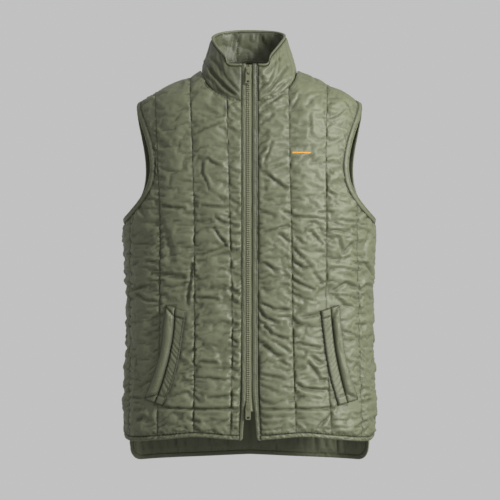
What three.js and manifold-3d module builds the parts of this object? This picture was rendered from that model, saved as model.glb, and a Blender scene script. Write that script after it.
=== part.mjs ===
// A quilted vest with a stand collar and a two-way front zip, in the hollow form that it has when worn.
// Millimetres, +Z up. The front faces -Y and the wearer's left is +X. The origin is midway between the
// shoulders at the height of the side neck points, where a wearer carries the garment.
import * as THREE from 'three';
import { mergeVertices } from 'three/addons/utils/BufferGeometryUtils.js';
import Module from 'manifold-3d';

const wasm = await Module();
wasm.setup();

// Driving sizes
const ROUNDNESS = 2.3; // exponent of the body's oval sections
const SEAM_GAP = 0.3; // between two pieces that are sewn together
const STITCHED_WALL = 1.6; // wall where it is stitched flat
const LOFT = 3.6; // what the filling adds at a channel's crown
const FULL_CHANNEL = 50; // a channel this wide or wider rises to the full loft
const EDGE_TAPER = 13; // the filling runs out over this distance from a sewn edge
const NECK_HALF = 81;
const NECK_SIDE_Z = -10;
const NECK_FRONT_DROP = 56;
const NECK_BACK_RISE = 25;
const UNDERARM_Z = -263;
const SHOULDER_TIP_Z = -67;
const HEM_BAND = 8;
const ARMHOLE_BAND = 12;
const FULL_TURN = Math.PI * 2;
const SQUARE = Math.PI / 2;

// Oval sections of the body: half width, and how far the front and the back stand off the side seams.
const SECTIONS = [
  { z: -720, half: 217.5, front: 121, back: 117 },
  { z: -628, half: 217.5, front: 121, back: 113 },
  { z: -549, half: 216.5, front: 119, back: 108 },
  { z: -478, half: 213, front: 117.5, back: 103 },
  { z: -408, half: 212.5, front: 119, back: 102 },
  { z: -320, half: 216, front: 123, back: 107 },
  { z: -259, half: 218, front: 124, back: 112 },
  { z: -200, half: 213.5, front: 121, back: 114 },
  { z: -130, half: 207.5, front: 113, back: 111 },
  { z: -97, half: 204.5, front: 106, back: 105.5 },
  { z: -79, half: 201, front: 100.5, back: 100.5 },
  { z: -67, half: 195, front: 96.5, back: 96.5 },
  { z: -59, half: 184.5, front: 93.5, back: 93 },
  { z: -47, half: 162.5, front: 89, back: 89 },
  { z: -25.5, half: 116, front: 80, back: 79 },
  { z: -10, half: 81, front: 72.5, back: 70.5 },
  { z: 20, half: 71, front: 64, back: 58 },
];

// Front hem and back hem: height of the lower edge at a distance from the centre.
const FRONT_HEM = [
  { x: 0, z: -645.5 },
  { x: 32, z: -644 },
  { x: 90, z: -640 },
  { x: 150, z: -646 },
  { x: 203, z: -652 },
  { x: 218, z: -653 },
];
const BACK_HEM = [
  { x: 0, z: -689.5 },
  { x: 97, z: -693 },
  { x: 218, z: -694.5 },
];

// Vents at the foot of the side seams. Corner sizes run along the side seam's depth and up.
const FRONT_VENT = { top: -572, spread: SEAM_GAP, cornerDepth: 56, cornerRise: 36 };
const BACK_VENT = { top: -572, spread: 36, cornerDepth: 28, cornerRise: 34 };

// Quilting lines, each as its distance from the centre at five heights.
const LEVELS = [-50, -160, -300, -450, -640];
const RIGHT_FRONT_LINES = [
  [14, 13.4, 13.4, 13.4, 18],
  [39, 36, 32.5, 29.3, 32],
  [101.7, 97, 93.4, 93.2, 95.6],
  [163, 157.5, 152, 153, 157.4],
  [206, 205, 204, 205, 208],
];
const LEFT_FRONT_LINES = [
  [14.8, 14.8, 14.8, 15, 19.5],
  [67.6, 68.5, 71.5, 73.5, 79.6],
  [134, 131, 131, 130.5, 140.5],
  [186, 184.5, 184.6, 188, 193],
];
const BACK_LINES = [
  [-35, -33.5, -32, -31, -34],
  [35, 33.5, 32, 31, 34],
  [100, 97, 95, 94, 97],
  [160, 156, 153, 153, 157],
  [203, 203, 203, 202.5, 202.5],
];

// Where the panels' points lie across each channel, as shares of its width.
const RIGHT_FRONT_SHARES = [
  [0, 0.5],
  [0, 0.12, 0.38, 0.58, 0.68, 0.88],
  [0, 0.13, 0.5, 0.87],
  [0, 0.13, 0.5, 0.87],
  [0, 0.25, 0.5, 0.7, 0.85, 0.95],
];
const LEFT_FRONT_SHARES = [
  [0, 0.13, 0.5, 0.87],
  [0, 0.12, 0.2, 0.5, 0.87],
  [0, 0.13, 0.5, 0.87],
  [0, 0.15, 0.31, 0.5, 0.68, 0.84, 0.94],
];
const BACK_SHARES = [
  [0.5, 0.87],
  [0, 0.13, 0.4, 0.6, 0.7, 0.88],
  [0, 0.13, 0.5, 0.87],
  [0, 0.13, 0.5, 0.74, 0.82, 0.9, 0.96],
  [0, 0.25, 0.5, 0.8],
];

// Sections of the front opening: the edges of the bands beside the zip.
const OPENING = [
  { z: -660, rightSeam: 18.4, rightEdge: 12, leftEdge: 14, leftSeam: 20 },
  { z: -640, rightSeam: 18, rightEdge: 11.3, leftEdge: 12.4, leftSeam: 19.5 },
  { z: -597, rightSeam: 14.6, rightEdge: 8.6, leftEdge: 8.6, leftSeam: 16.4 },
  { z: -560, rightSeam: 13.4, rightEdge: 6.6, leftEdge: 4.6, leftSeam: 15 },
  { z: -66, rightSeam: 13.4, rightEdge: 6.6, leftEdge: 4.6, leftSeam: 14.8 },
  { z: 20, rightSeam: 13.4, rightEdge: 6.6, leftEdge: 4.6, leftSeam: 14.8 },
];

// Top edge of the collar, from the zip on the wearer's right round the back to the zip on the left.
const COLLAR_TOP = [
  { x: -13.4, y: -84, z: 1 },
  { x: -31, y: -83.5, z: 1 },
  { x: -37, y: -81, z: 3 },
  { x: -39.5, y: -75, z: 13 },
  { x: -49, y: -50, z: 27 },
  { x: -56.5, y: -22, z: 40 },
  { x: -62, y: 5, z: 52 },
  { x: -60, y: 28, z: 61 },
  { x: -49, y: 47, z: 68 },
  { x: -28, y: 57, z: 72 },
  { x: 0, y: 59, z: 73 },
  { x: 28, y: 57, z: 72 },
  { x: 48, y: 47, z: 69 },
  { x: 58.5, y: 28, z: 63 },
  { x: 59, y: 5, z: 55 },
  { x: 52, y: -22, z: 43 },
  { x: 43.5, y: -50, z: 29.5 },
  { x: 34, y: -75, z: 14.5 },
  { x: 32, y: -81, z: 4 },
  { x: 27, y: -83.5, z: 1 },
  { x: 14.8, y: -84, z: 1 },
];
const COLLAR = { wall: 3.2, belly: 1.2, binding: 5, rows: 5 };

// Zip: the chain's centre lies a little to the wearer's right of the middle.
const ZIP = { x: -2.2, tapeTop: -1, tapeFoot: -596, chainTop: -26, chainFoot: -578 };
const OPENING_HEIGHTS = [
  -645, -620, ZIP.tapeFoot, ZIP.chainFoot, -555, -515, -470, -420, -370, -320, -270, -225, -185,
  -155, -130, -115, -103, -92, -82, -73, -66, -57, -46, -36, ZIP.chainTop, -13, ZIP.tapeTop, 0.5,
];

// Pockets: distance from the centre of the inner edge, the line beside the padded welt, and the outer edge.
const RIGHT_POCKET = [
  { z: -419, inner: 107, middle: 126, outer: 140.5 },
  { z: -458, inner: 113.5, middle: 128.5, outer: 145.5 },
  { z: -497, inner: 119, middle: 134.5, outer: 150 },
  { z: -538, inner: 129, middle: 145, outer: 161 },
  { z: -583, inner: 147.5, middle: 160, outer: 178 },
];
const LEFT_POCKET = [
  { z: -419, inner: 120, middle: 137.5, outer: 151.5 },
  { z: -458, inner: 124.5, middle: 141, outer: 155.5 },
  { z: -497, inner: 129.5, middle: 146, outer: 160.5 },
  { z: -538, inner: 137.5, middle: 154.5, outer: 169.5 },
  { z: -583, inner: 150, middle: 166.5, outer: 184.5 },
];
const POCKET = { base: 3.4, clear: 0.7, welt: 5.2, facing: 2.6, tab: 3.6, tabShare: 0.085, dropPerWidth: 10 };

const CLOTH = new THREE.MeshStandardMaterial({ color: 0x83876c, roughness: 0.55, metalness: 0 });
const TAPE = new THREE.MeshStandardMaterial({ color: 0x777b60, roughness: 0.85, metalness: 0 });
const METAL = new THREE.MeshStandardMaterial({ color: 0x6d6f5b, roughness: 0.4, metalness: 0.7 });

const clamp = (value, low, high) => Math.min(high, Math.max(low, value));
const mix = (a, b, share) => a + (b - a) * share;

function smooth(low, high, value) {
  const share = clamp((value - low) / (high - low), 0, 1);
  return share * share * (3 - 2 * share);
}

// A smooth curve through table rows that never overshoots them.
function curveThrough(rows, at, key) {
  const sorted = [...rows].sort((p, q) => p[at] - q[at]);
  const t = sorted.map((row) => row[at]);
  const v = sorted.map((row) => row[key]);
  const last = t.length - 1;
  const slopes = t.slice(1).map((_, i) => (v[i + 1] - v[i]) / (t[i + 1] - t[i]));
  const tangents = t.map((_, i) => {
    if (i === 0) return slopes[0];
    if (i === last) return slopes[last - 1];
    const before = slopes[i - 1];
    const after = slopes[i];
    return before * after <= 0 ? 0 : (2 * before * after) / (before + after);
  });
  return (value) => {
    const inside = clamp(value, t[0], t[last]);
    let i = 0;
    while (i < last - 1 && inside > t[i + 1]) i += 1;
    const width = t[i + 1] - t[i];
    const s = (inside - t[i]) / width;
    const rise = 3 * s * s - 2 * s * s * s;
    return mix(v[i], v[i + 1], rise)
      + width * (s * (1 - s) * (1 - s) * tangents[i] - s * s * (1 - s) * tangents[i + 1]);
  };
}

const half = curveThrough(SECTIONS, 'z', 'half');
const depths = {
  front: curveThrough(SECTIONS, 'z', 'front'),
  back: curveThrough(SECTIONS, 'z', 'back'),
};
const hems = {
  front: curveThrough(FRONT_HEM, 'x', 'z'),
  back: curveThrough(BACK_HEM, 'x', 'z'),
};
const lineCurve = (distances) =>
  curveThrough(LEVELS.map((z, i) => ({ z, x: distances[i] })), 'z', 'x');

// Angle round a section, 0 at the centre and a right angle at the side seam.
const angleAtX = (x, z) =>
  Math.sign(x) * Math.asin(Math.min(1, Math.abs(x) / half(z)) ** (ROUNDNESS / 2));
const angleAtDepth = (depth, z, face) =>
  Math.acos(Math.min(1, Math.abs(depth) / depths[face](z)) ** (ROUNDNESS / 2));

function bodyPoint(face, angle, z) {
  const across = Math.abs(Math.sin(angle)) ** (2 / ROUNDNESS);
  const along = Math.max(0, Math.cos(angle)) ** (2 / ROUNDNESS);
  const ySign = face === 'front' ? -1 : 1;
  return new THREE.Vector3(
    Math.sign(angle) * half(z) * across,
    ySign * depths[face](z) * along,
    z,
  );
}

function bodyNormal(face, point) {
  const step = 0.5;
  const { x, y, z } = point;
  const wide = half(z);
  const deep = depths[face](z);
  const shareX = (Math.abs(x) / wide) ** ROUNDNESS;
  const shareY = (Math.abs(y) / deep) ** ROUNDNESS;
  const wideSlope = (half(z + step) - half(z - step)) / (2 * step);
  const deepSlope = (depths[face](z + step) - depths[face](z - step)) / (2 * step);
  return new THREE.Vector3(
    (Math.sign(x) * (Math.abs(x) / wide) ** (ROUNDNESS - 1)) / wide,
    (Math.sign(y) * (Math.abs(y) / deep) ** (ROUNDNESS - 1)) / deep,
    -(shareX * wideSlope) / wide - (shareY * deepSlope) / deep,
  ).normalize();
}

// A point that stands off the body by a lift along its normal.
function lifted(face, angle, z, lift) {
  const point = bodyPoint(face, angle, z);
  return point.addScaledVector(bodyNormal(face, point), lift);
}

// The height between two others where a falling measure reaches a value.
function heightWhere(measure, value, low, high) {
  let [below, above] = [low, high];
  for (let i = 0; i < 50; i += 1) {
    const middle = (below + above) / 2;
    if (measure(middle) > value) below = middle;
    else above = middle;
  }
  return (below + above) / 2;
}

// Height of a panel's upper edge at a distance from the centre: the neckline, then the shoulder seam.
function topEdge(face, x) {
  const reach = Math.abs(x);
  if (reach >= NECK_HALF) return heightWhere(half, reach, SHOULDER_TIP_Z, NECK_SIDE_Z);
  const bow = Math.sqrt(1 - (reach / NECK_HALF) ** 2);
  return NECK_SIDE_Z + (face === 'front' ? -NECK_FRONT_DROP : NECK_BACK_RISE) * bow;
}

// Armhole: an egg in side view. turn is 0 at the shoulder tip and a half turn under the arm.
const ARMHOLE_REACH = { front: 77, back: 63 };
const ARMHOLE_BLUNT = 0.85;
const ARMHOLE_LOW = 0.25;

function armholeEdge(face, turn) {
  const middle = (SHOULDER_TIP_Z + UNDERARM_Z) / 2;
  const radius = (SHOULDER_TIP_Z - UNDERARM_Z) / 2;
  const z = middle + radius * Math.cos(turn);
  const reach = Math.max(0, Math.sin(turn)) ** ARMHOLE_BLUNT;
  const depth = ARMHOLE_REACH[face] * reach * (1 - ARMHOLE_LOW * Math.cos(turn));
  return { angle: angleAtDepth(depth, z, face), z };
}

// The point that lies a distance away from the armhole's edge, along the cloth.
function armholeAway(face, turn, distance) {
  const step = 0.02;
  const here = armholeEdge(face, turn);
  const point = bodyPoint(face, here.angle, here.z);
  if (turn < step) {
    const left = (z) => distance - Math.hypot(half(z) - half(here.z), z - here.z);
    return { angle: SQUARE, z: heightWhere(left, 0, here.z, here.z + 2 * distance) };
  }
  if (turn > Math.PI - step) return { angle: SQUARE, z: here.z - distance };
  const before = armholeEdge(face, turn - step);
  const after = armholeEdge(face, turn + step);
  const along = bodyPoint(face, after.angle, after.z).sub(bodyPoint(face, before.angle, before.z));
  const away = along.cross(bodyNormal(face, point)).normalize();
  const centre = new THREE.Vector3(half(here.z), 0, (SHOULDER_TIP_Z + UNDERARM_Z) / 2);
  if (away.dot(point.clone().sub(centre)) < 0) away.negate();
  const moved = point.addScaledVector(away, distance);
  const across = (Math.abs(moved.x) / half(moved.z)) ** (ROUNDNESS / 2);
  const deep = (Math.abs(moved.y) / depths[face](moved.z)) ** (ROUNDNESS / 2);
  return { angle: Math.atan2(across, deep), z: moved.z };
}

// Depth of the side edge from the side seam at a height: the vent spreads it, and a band takes its width.
function sideDepth(face, z, inset) {
  const vent = face === 'front' ? FRONT_VENT : BACK_VENT;
  const cornerTop = hems[face](half(z)) + vent.cornerRise;
  const open = 1 - smooth(cornerTop, vent.top, z);
  const band = inset * (1 - smooth(vent.top - 14, vent.top, z));
  return SEAM_GAP / 2 + (vent.spread - SEAM_GAP / 2) * open + band;
}

// Height of the lower edge, or of a line inset from it, at a point of the section.
function lowerEdge(face, x, depth, inset) {
  const vent = face === 'front' ? FRONT_VENT : BACK_VENT;
  const foot = hems[face](Math.abs(x));
  const centre = vent.spread + vent.cornerDepth;
  if (depth >= centre) return foot + inset;
  const across = clamp((centre - depth) / (vent.cornerDepth - inset), 0, 1);
  return foot + vent.cornerRise - (vent.cornerRise - inset) * Math.sqrt(1 - across * across);
}

// A closed wall between an inner and an outer grid of points with the same rows and columns.
function wallBetween(inner, outer, ring = false) {
  const rows = inner.length;
  const columns = inner[0].length;
  const points = [...inner.flat(), ...outer.flat()];
  const layer = rows * columns;
  const faces = [];
  const quad = (a, b, c, d) => faces.push(a, b, c, a, c, d);
  const split = (a, b, c, d, shift) => {
    const short = points[a].distanceTo(points[c]) < points[b].distanceTo(points[d]);
    if (short) quad(a + shift, b + shift, c + shift, d + shift);
    else quad(b + shift, c + shift, d + shift, a + shift);
  };
  const at = (row, column) => row * columns + (column % columns);
  const spans = ring ? columns : columns - 1;
  for (let row = 0; row < rows - 1; row += 1) {
    for (let column = 0; column < spans; column += 1) {
      const corners = [at(row, column), at(row, column + 1), at(row + 1, column + 1), at(row + 1, column)];
      split(...corners.toReversed(), 0);
      split(...corners, layer);
    }
  }
  for (let column = 0; column < spans; column += 1) {
    const low = [at(0, column), at(0, column + 1)];
    const high = [at(rows - 1, column), at(rows - 1, column + 1)];
    quad(low[0], low[1], low[1] + layer, low[0] + layer);
    quad(high[1], high[0], high[0] + layer, high[1] + layer);
  }
  if (!ring) {
    for (let row = 0; row < rows - 1; row += 1) {
      const left = [at(row, 0), at(row + 1, 0)];
      const right = [at(row, columns - 1), at(row + 1, columns - 1)];
      quad(left[1], left[0], left[0] + layer, left[1] + layer);
      quad(right[0], right[1], right[1] + layer, right[0] + layer);
    }
  }
  return closedGeometry(points, faces);
}

// Geometry from points and faces, turned so that its faces point out.
function closedGeometry(points, faces) {
  let volume = 0;
  for (let i = 0; i < faces.length; i += 3) {
    const [a, b, c] = [points[faces[i]], points[faces[i + 1]], points[faces[i + 2]]];
    volume += a.dot(b.clone().cross(c));
  }
  const index = volume > 0 ? faces : faces.map((_, i) => faces[i - (i % 3) + (2 - (i % 3))]);
  const geometry = new THREE.BufferGeometry().setFromPoints(points);
  geometry.setIndex(index);
  geometry.computeVertexNormals();
  return geometry;
}

// The quilting of one half panel. Its first line bounds it at the centre or lies past the centre.
function quilting(lines, pocketRows) {
  const curves = lines.map(lineCurve);
  const pocket = pocketRows ? pocketShape(pocketRows) : null;
  return { curves, pocket, marks: (z) => [...curves.map((curve) => angleAtX(curve(z), z)), SQUARE] };
}

// The filling's height at a point: crowned between stitch lines, uneven along each channel.
function fillingHeight(quilt, face, angle, z, edgeDistance) {
  const marks = quilt.marks(Math.max(z, UNDERARM_Z - ARMHOLE_BAND) < z ? z : z);
  let channel = 0;
  while (channel < marks.length - 2 && angle > marks[channel + 1]) channel += 1;
  const low = marks[channel];
  const high = marks[channel + 1];
  const share = clamp((angle - low) / (high - low), 0, 1);
  const width = bodyPoint(face, low, z).distanceTo(bodyPoint(face, high, z));
  const crown = 1 - Math.abs(2 * share - 1) ** 3.2;
  const uneven = 1 + 0.16 * Math.sin(z / 17 + channel * 2.1) + 0.1 * Math.sin(z / 41 + channel * 4.3);
  const taper = 1 - (1 - clamp(edgeDistance / EDGE_TAPER, 0, 1)) ** 3;
  const height = LOFT * Math.min(1, width / FULL_CHANNEL) * crown * uneven * taper;
  if (!quilt.pocket) return height;
  const flat = POCKET.base - STITCHED_WALL;
  return mix(height, flat, quilt.pocket.cover(bodyPoint(face, angle, z).x, z));
}

// A pocket's shape on its panel: places by share along and across, and how far it covers a point.
function pocketShape(rows) {
  const top = Math.max(...rows.map((row) => row.z));
  const foot = Math.min(...rows.map((row) => row.z));
  const inner = curveThrough(rows, 'z', 'inner');
  const middle = curveThrough(rows, 'z', 'middle');
  const outer = curveThrough(rows, 'z', 'outer');
  const near = 9;
  const far = 25;
  return {
    middleShare: (down) => {
      const z = mix(top, foot, down);
      return (middle(z) - inner(z)) / (outer(z) - inner(z));
    },
    place: (down, out) => {
      const z = mix(top, foot, down);
      const tilt = POCKET.dropPerWidth * (0.5 - out);
      return { x: mix(inner(z), outer(z), out), z: z - tilt };
    },
    cover: (x, z) => {
      const reach = Math.abs(x);
      const inside = Math.min(reach - inner(z), outer(z) - reach);
      const within = Math.min(top + POCKET.dropPerWidth - z, z - foot + POCKET.dropPerWidth);
      return smooth(-far, -near, inside) * smooth(-far, -near, within);
    },
  };
}

// Columns of a half panel, each as a channel and a share across it. One more ends at the side neck point.
function columnsOf(lines, sharesByChannel) {
  const [low, high] = [1, 2].map((i) => lineCurve(lines[i])(NECK_SIDE_Z));
  const neckShare = (NECK_HALF - low) / (high - low);
  const columns = sharesByChannel.flatMap((shares, channel) => {
    const all = channel === 1 ? [...shares, neckShare].sort((p, q) => p - q) : shares;
    return all.map((share) => ({ channel, share }));
  });
  return [...columns, { channel: lines.length - 1, share: 1 }];
}

// Stations of the rows: shares of the way up to the underarm, then turns round the armhole.
const LOWER_STATIONS = [0, 0.012, 0.04, 0.12, 0.145, 0.17, 0.28, 0.4, 0.52, 0.64, 0.76, 0.88, 0.955, 1];
const ARMHOLE_TURNS = [180, 165, 150, 134, 118, 102, 86, 70, 54, 37, 20, 8, 0].map(THREE.MathUtils.degToRad);

// Shares of length along a list of points.
function lengthShares(points) {
  const sums = [0];
  points.slice(1).forEach((point, i) => sums.push(sums[i] + point.distanceTo(points[i])));
  return sums.map((sum) => sum / sums[sums.length - 1]);
}

// Height on a column at a share of its length between two heights, denser sampled near the top.
function heightsAlong(face, xOf, lowZ, highZ, shares) {
  const steps = 240;
  const samples = Array.from({ length: steps + 1 }, (_, i) => {
    const left = 1 - i / steps;
    return highZ - (highZ - lowZ) * left * left * left;
  });
  const points = samples.map((z) => bodyPoint(face, angleAtX(xOf(z), z), z));
  const done = lengthShares(points);
  return shares.map((share) => {
    let i = 0;
    while (i < steps - 1 && done[i + 1] < share) i += 1;
    const within = clamp((share - done[i]) / (done[i + 1] - done[i]), 0, 1);
    return mix(samples[i], samples[i + 1], within);
  });
}

// Angle and height of each point of a half panel, by row and column, and its distance to a sewn edge.
function halfPanelPlaces(face, lines, columns) {
  const curves = lines.map(lineCurve);
  const lastFull = curves.length - 2; // the last quilting line that reaches the shoulder
  const splitZ = UNDERARM_Z - ARMHOLE_BAND - SEAM_GAP;
  const besideSeam = (z) => angleAtDepth(SEAM_GAP / 2, z, face);
  const ring = ARMHOLE_TURNS.map((turn) => armholeAway(face, turn, ARMHOLE_BAND + SEAM_GAP));
  ring[ring.length - 1].angle = besideSeam(ring[ring.length - 1].z);
  const upperShares = lengthShares(ring.map(({ angle, z }) => bodyPoint(face, angle, z)));
  const sideAngle = (z) => angleAtDepth(sideDepth(face, z, HEM_BAND + SEAM_GAP), z, face);
  const angleIn = ({ channel, share }, z) => {
    const outer = channel === curves.length - 1 ? sideAngle(z) : angleAtX(curves[channel + 1](z), z);
    return mix(angleAtX(curves[channel](z), z), outer, share);
  };
  const xIn = ({ channel, share }) => (z) => mix(curves[channel](z), curves[channel + 1](z), share);
  const lowerRows = (column) => {
    let footZ = hems[face](0) + HEM_BAND;
    for (let i = 0; i < 40; i += 1) {
      const point = bodyPoint(face, angleIn(column, footZ), footZ);
      footZ = mix(footZ, lowerEdge(face, point.x, Math.abs(point.y), HEM_BAND + SEAM_GAP), 0.5);
    }
    return LOWER_STATIONS.map((share) => mix(footZ, splitZ, share));
  };
  const fullColumn = (column) => {
    const xOf = xIn(column);
    let topZ = -40;
    for (let i = 0; i < 40; i += 1) topZ = mix(topZ, topEdge(face, xOf(topZ)), 0.6);
    const lower = lowerRows(column).map((z) => ({ angle: angleIn(column, z), z }));
    const onShoulder = xOf(topZ) > NECK_HALF - 0.01;
    const highest = onShoulder ? topZ : topZ - SEAM_GAP;
    const upper = heightsAlong(face, xOf, splitZ, highest, upperShares);
    const path = [...lower, ...upper.slice(1).map((z) => ({ angle: angleAtX(xOf(z), z), z }))];
    if (onShoulder) path[path.length - 1].angle = besideSeam(highest);
    return path;
  };
  const anchor = fullColumn({ channel: lastFull, share: 0 });
  const start = LOWER_STATIONS.length - 1;
  const sideSplit = sideAngle(splitZ);
  const partColumn = (column) => {
    const lower = lowerRows(column).map((z) => ({ angle: angleIn(column, z), z }));
    const fromAnchor = anchor[start].angle;
    const weight = (lower[start].angle - fromAnchor) / (sideSplit - fromAnchor);
    const upper = ring.slice(1).map((edge, i) => ({
      angle: mix(anchor[start + 1 + i].angle, edge.angle, weight),
      z: mix(anchor[start + 1 + i].z, edge.z, weight),
    }));
    return [...lower, ...upper];
  };
  const paths = columns.map((column) => (column.channel < lastFull ? fullColumn(column) : partColumn(column)));
  return paths[0].map((_, row) => paths.map((path) => path[row]));
}

// Distance of each place from the panel's foot, top and outer edge, whichever is least.
function edgeDistances(face, places) {
  const points = places.map((row) => row.map(({ angle, z }) => bodyPoint(face, angle, z)));
  const last = places.length - 1;
  return points.map((row, r) => row.map((point, c) => {
    const side = row[row.length - 1];
    const onSideSeam = r < LOWER_STATIONS.length;
    const toSide = onSideSeam ? Infinity : point.distanceTo(side);
    return Math.min(point.distanceTo(points[0][c]), point.distanceTo(points[last][c]), toSide);
  }));
}

// A half panel's inner and outer points. mirror is -1 on the wearer's right.
function halfPanel(face, lines, shares, pocketRows, mirror) {
  const columns = columnsOf(lines, shares);
  const places = halfPanelPlaces(face, lines, columns);
  const distances = edgeDistances(face, places);
  const quilt = quilting(lines, pocketRows);
  const grid = (liftOf) => places.map((row, r) => row.map((place, c) => {
    const point = lifted(face, place.angle, place.z, liftOf(place, distances[r][c]));
    point.x *= mirror;
    return point;
  }));
  return {
    places,
    inner: grid(() => 0),
    outer: grid((place, distance) =>
      STITCHED_WALL + fillingHeight(quilt, face, place.angle, place.z, distance)),
    top: places[places.length - 1],
  };
}

const cloth = (name, geometry, material = CLOTH) => {
  const mesh = new THREE.Mesh(geometry, material);
  mesh.name = name;
  return mesh;
};

const rightHalf = halfPanel('front', RIGHT_FRONT_LINES, RIGHT_FRONT_SHARES, RIGHT_POCKET, -1);
const leftHalf = halfPanel('front', LEFT_FRONT_LINES, LEFT_FRONT_SHARES, LEFT_POCKET, 1);
const backHalf = halfPanel('back', BACK_LINES, BACK_SHARES, null, 1);

// Joins a half grid with its mirror image into one that runs from side to side.
function joinedMirror(rows) {
  return rows.map((row) => {
    const mirrored = row.slice(1).reverse().map((point) => new THREE.Vector3(-point.x, point.y, point.z));
    return [...mirrored, ...row];
  });
}

function frontPanels() {
  return [
    cloth('front_right', wallBetween(rightHalf.inner, rightHalf.outer)),
    cloth('front_left', wallBetween(leftHalf.inner, leftHalf.outer)),
  ];
}

function backPanel() {
  return cloth('back', wallBetween(joinedMirror(backHalf.inner), joinedMirror(backHalf.outer)));
}

// A band's cross-section, from its free edge to the stitch line: share across and lift off the body.
const BAND_SECTION = [
  { share: 0, low: 0.3, high: 2.2 },
  { share: 0.3, low: 0, high: 3.1 },
  { share: 0.75, low: 0, high: 3.1 },
  { share: 1, low: 0, high: 1.8 },
];

// A band between two edges, each a list of angle, height and face.
function bandBetween(edge, stitch, { mirror = 1, ring = false, section = BAND_SECTION } = {}) {
  const grid = (key) => section.map((profile) => edge.map((from, i) => {
    const to = stitch[i];
    const angle = mix(from.angle, to.angle, profile.share);
    const point = lifted(from.face, angle, mix(from.z, to.z, profile.share), profile[key]);
    point.x *= mirror;
    return point;
  }));
  return wallBetween(grid('low'), grid('high'), ring);
}

function armholeBinding(name, mirror) {
  const stations = [
    ...ARMHOLE_TURNS.map((turn) => ({ face: 'front', turn })),
    ...ARMHOLE_TURNS.slice(1, -1).reverse().map((turn) => ({ face: 'back', turn })),
  ];
  const edge = stations.map(({ face, turn }) => ({ ...armholeEdge(face, turn), face }));
  const stitch = stations.map(({ face, turn }) => ({ ...armholeAway(face, turn, ARMHOLE_BAND), face }));
  return cloth(name, bandBetween(edge, stitch, { mirror, ring: true }));
}

// A hem band follows the panel's lower points, round the corner, then up the vent.
function hemStations(face, places) {
  const vent = face === 'front' ? FRONT_VENT : BACK_VENT;
  const centre = vent.spread + vent.cornerDepth;
  const inset = HEM_BAND + SEAM_GAP;
  const fromPanel = places[0].map((place) => {
    const { x, y } = bodyPoint(face, place.angle, place.z);
    const sine = clamp((centre - Math.abs(y)) / (vent.cornerDepth - inset), 0, 1);
    const turn = Math.asin(sine);
    const foot = hems[face](Math.abs(x));
    const at = (reach) => {
      const z = foot + vent.cornerRise - (vent.cornerRise - reach) * Math.cos(turn);
      if (sine === 0) return { angle: place.angle, z, face };
      return { angle: angleAtDepth(centre - (vent.cornerDepth - reach) * sine, z, face), z, face };
    };
    return { edge: at(0), stitch: at(HEM_BAND) };
  });
  const upVent = places.slice(1)
    .map((row) => row[row.length - 1].z)
    .filter((z) => z < vent.top)
    .map((z) => {
      const at = (reach) => ({ angle: angleAtDepth(sideDepth(face, z, reach), z, face), z, face });
      return { edge: at(0), stitch: at(HEM_BAND) };
    });
  return [...fromPanel, ...upVent];
}

function hemBindings() {
  const right = hemStations('front', rightHalf.places);
  const left = hemStations('front', leftHalf.places);
  const back = hemStations('back', backHalf.places);
  const flip = (station) => ({
    edge: { ...station.edge, angle: -station.edge.angle },
    stitch: { ...station.stitch, angle: -station.stitch.angle },
  });
  const whole = [...back.slice(1).reverse().map(flip), ...back];
  const band = (name, stations, mirror) => cloth(
    name,
    bandBetween(stations.map(({ edge }) => edge), stations.map(({ stitch }) => stitch), { mirror }),
  );
  return [
    band('hem_binding_right', right, -1),
    band('hem_binding_left', left, 1),
    band('hem_binding_back', whole, 1),
  ];
}

// The centre front runs down the body and up the collar. Its point and normal at a signed x and a height.
const openingCurves = Object.fromEntries(
  ['rightSeam', 'rightEdge', 'leftEdge', 'leftSeam'].map((key) => [key, curveThrough(OPENING, 'z', key)]),
);

function centreFront(x, z, lift) {
  const seamZ = topEdge('front', x);
  const top = COLLAR_TOP[0];
  const low = bodyPoint('front', angleAtX(x, Math.min(z, seamZ)), Math.min(z, seamZ));
  const bodyUp = bodyNormal('front', low);
  if (z <= seamZ) return low.addScaledVector(bodyUp, lift);
  const share = (z - seamZ) / (top.z - seamZ);
  const tilt = Math.atan2(top.y - low.y, top.z - seamZ);
  const point = new THREE.Vector3(x, mix(low.y, top.y, share), z);
  const normal = new THREE.Vector3(0, -Math.cos(tilt), Math.sin(tilt));
  const turn = smooth(0, 0.25, share);
  return point.addScaledVector(bodyUp.lerp(normal, turn).normalize(), lift);
}

// A strip that runs up the opening between two distances from the centre. All strips share their heights.
function openingStrip(name, { fromX, toX, low, high, profile, material = CLOTH }) {
  const heights = OPENING_HEIGHTS.filter((z) => z >= low && z <= high);
  const grid = (key) => heights.map((z) =>
    profile.map((step) => centreFront(mix(fromX(z), toX(z), step.share), z, step[key])));
  return cloth(name, wallBetween(grid('low'), grid('high')), material);
}

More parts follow.
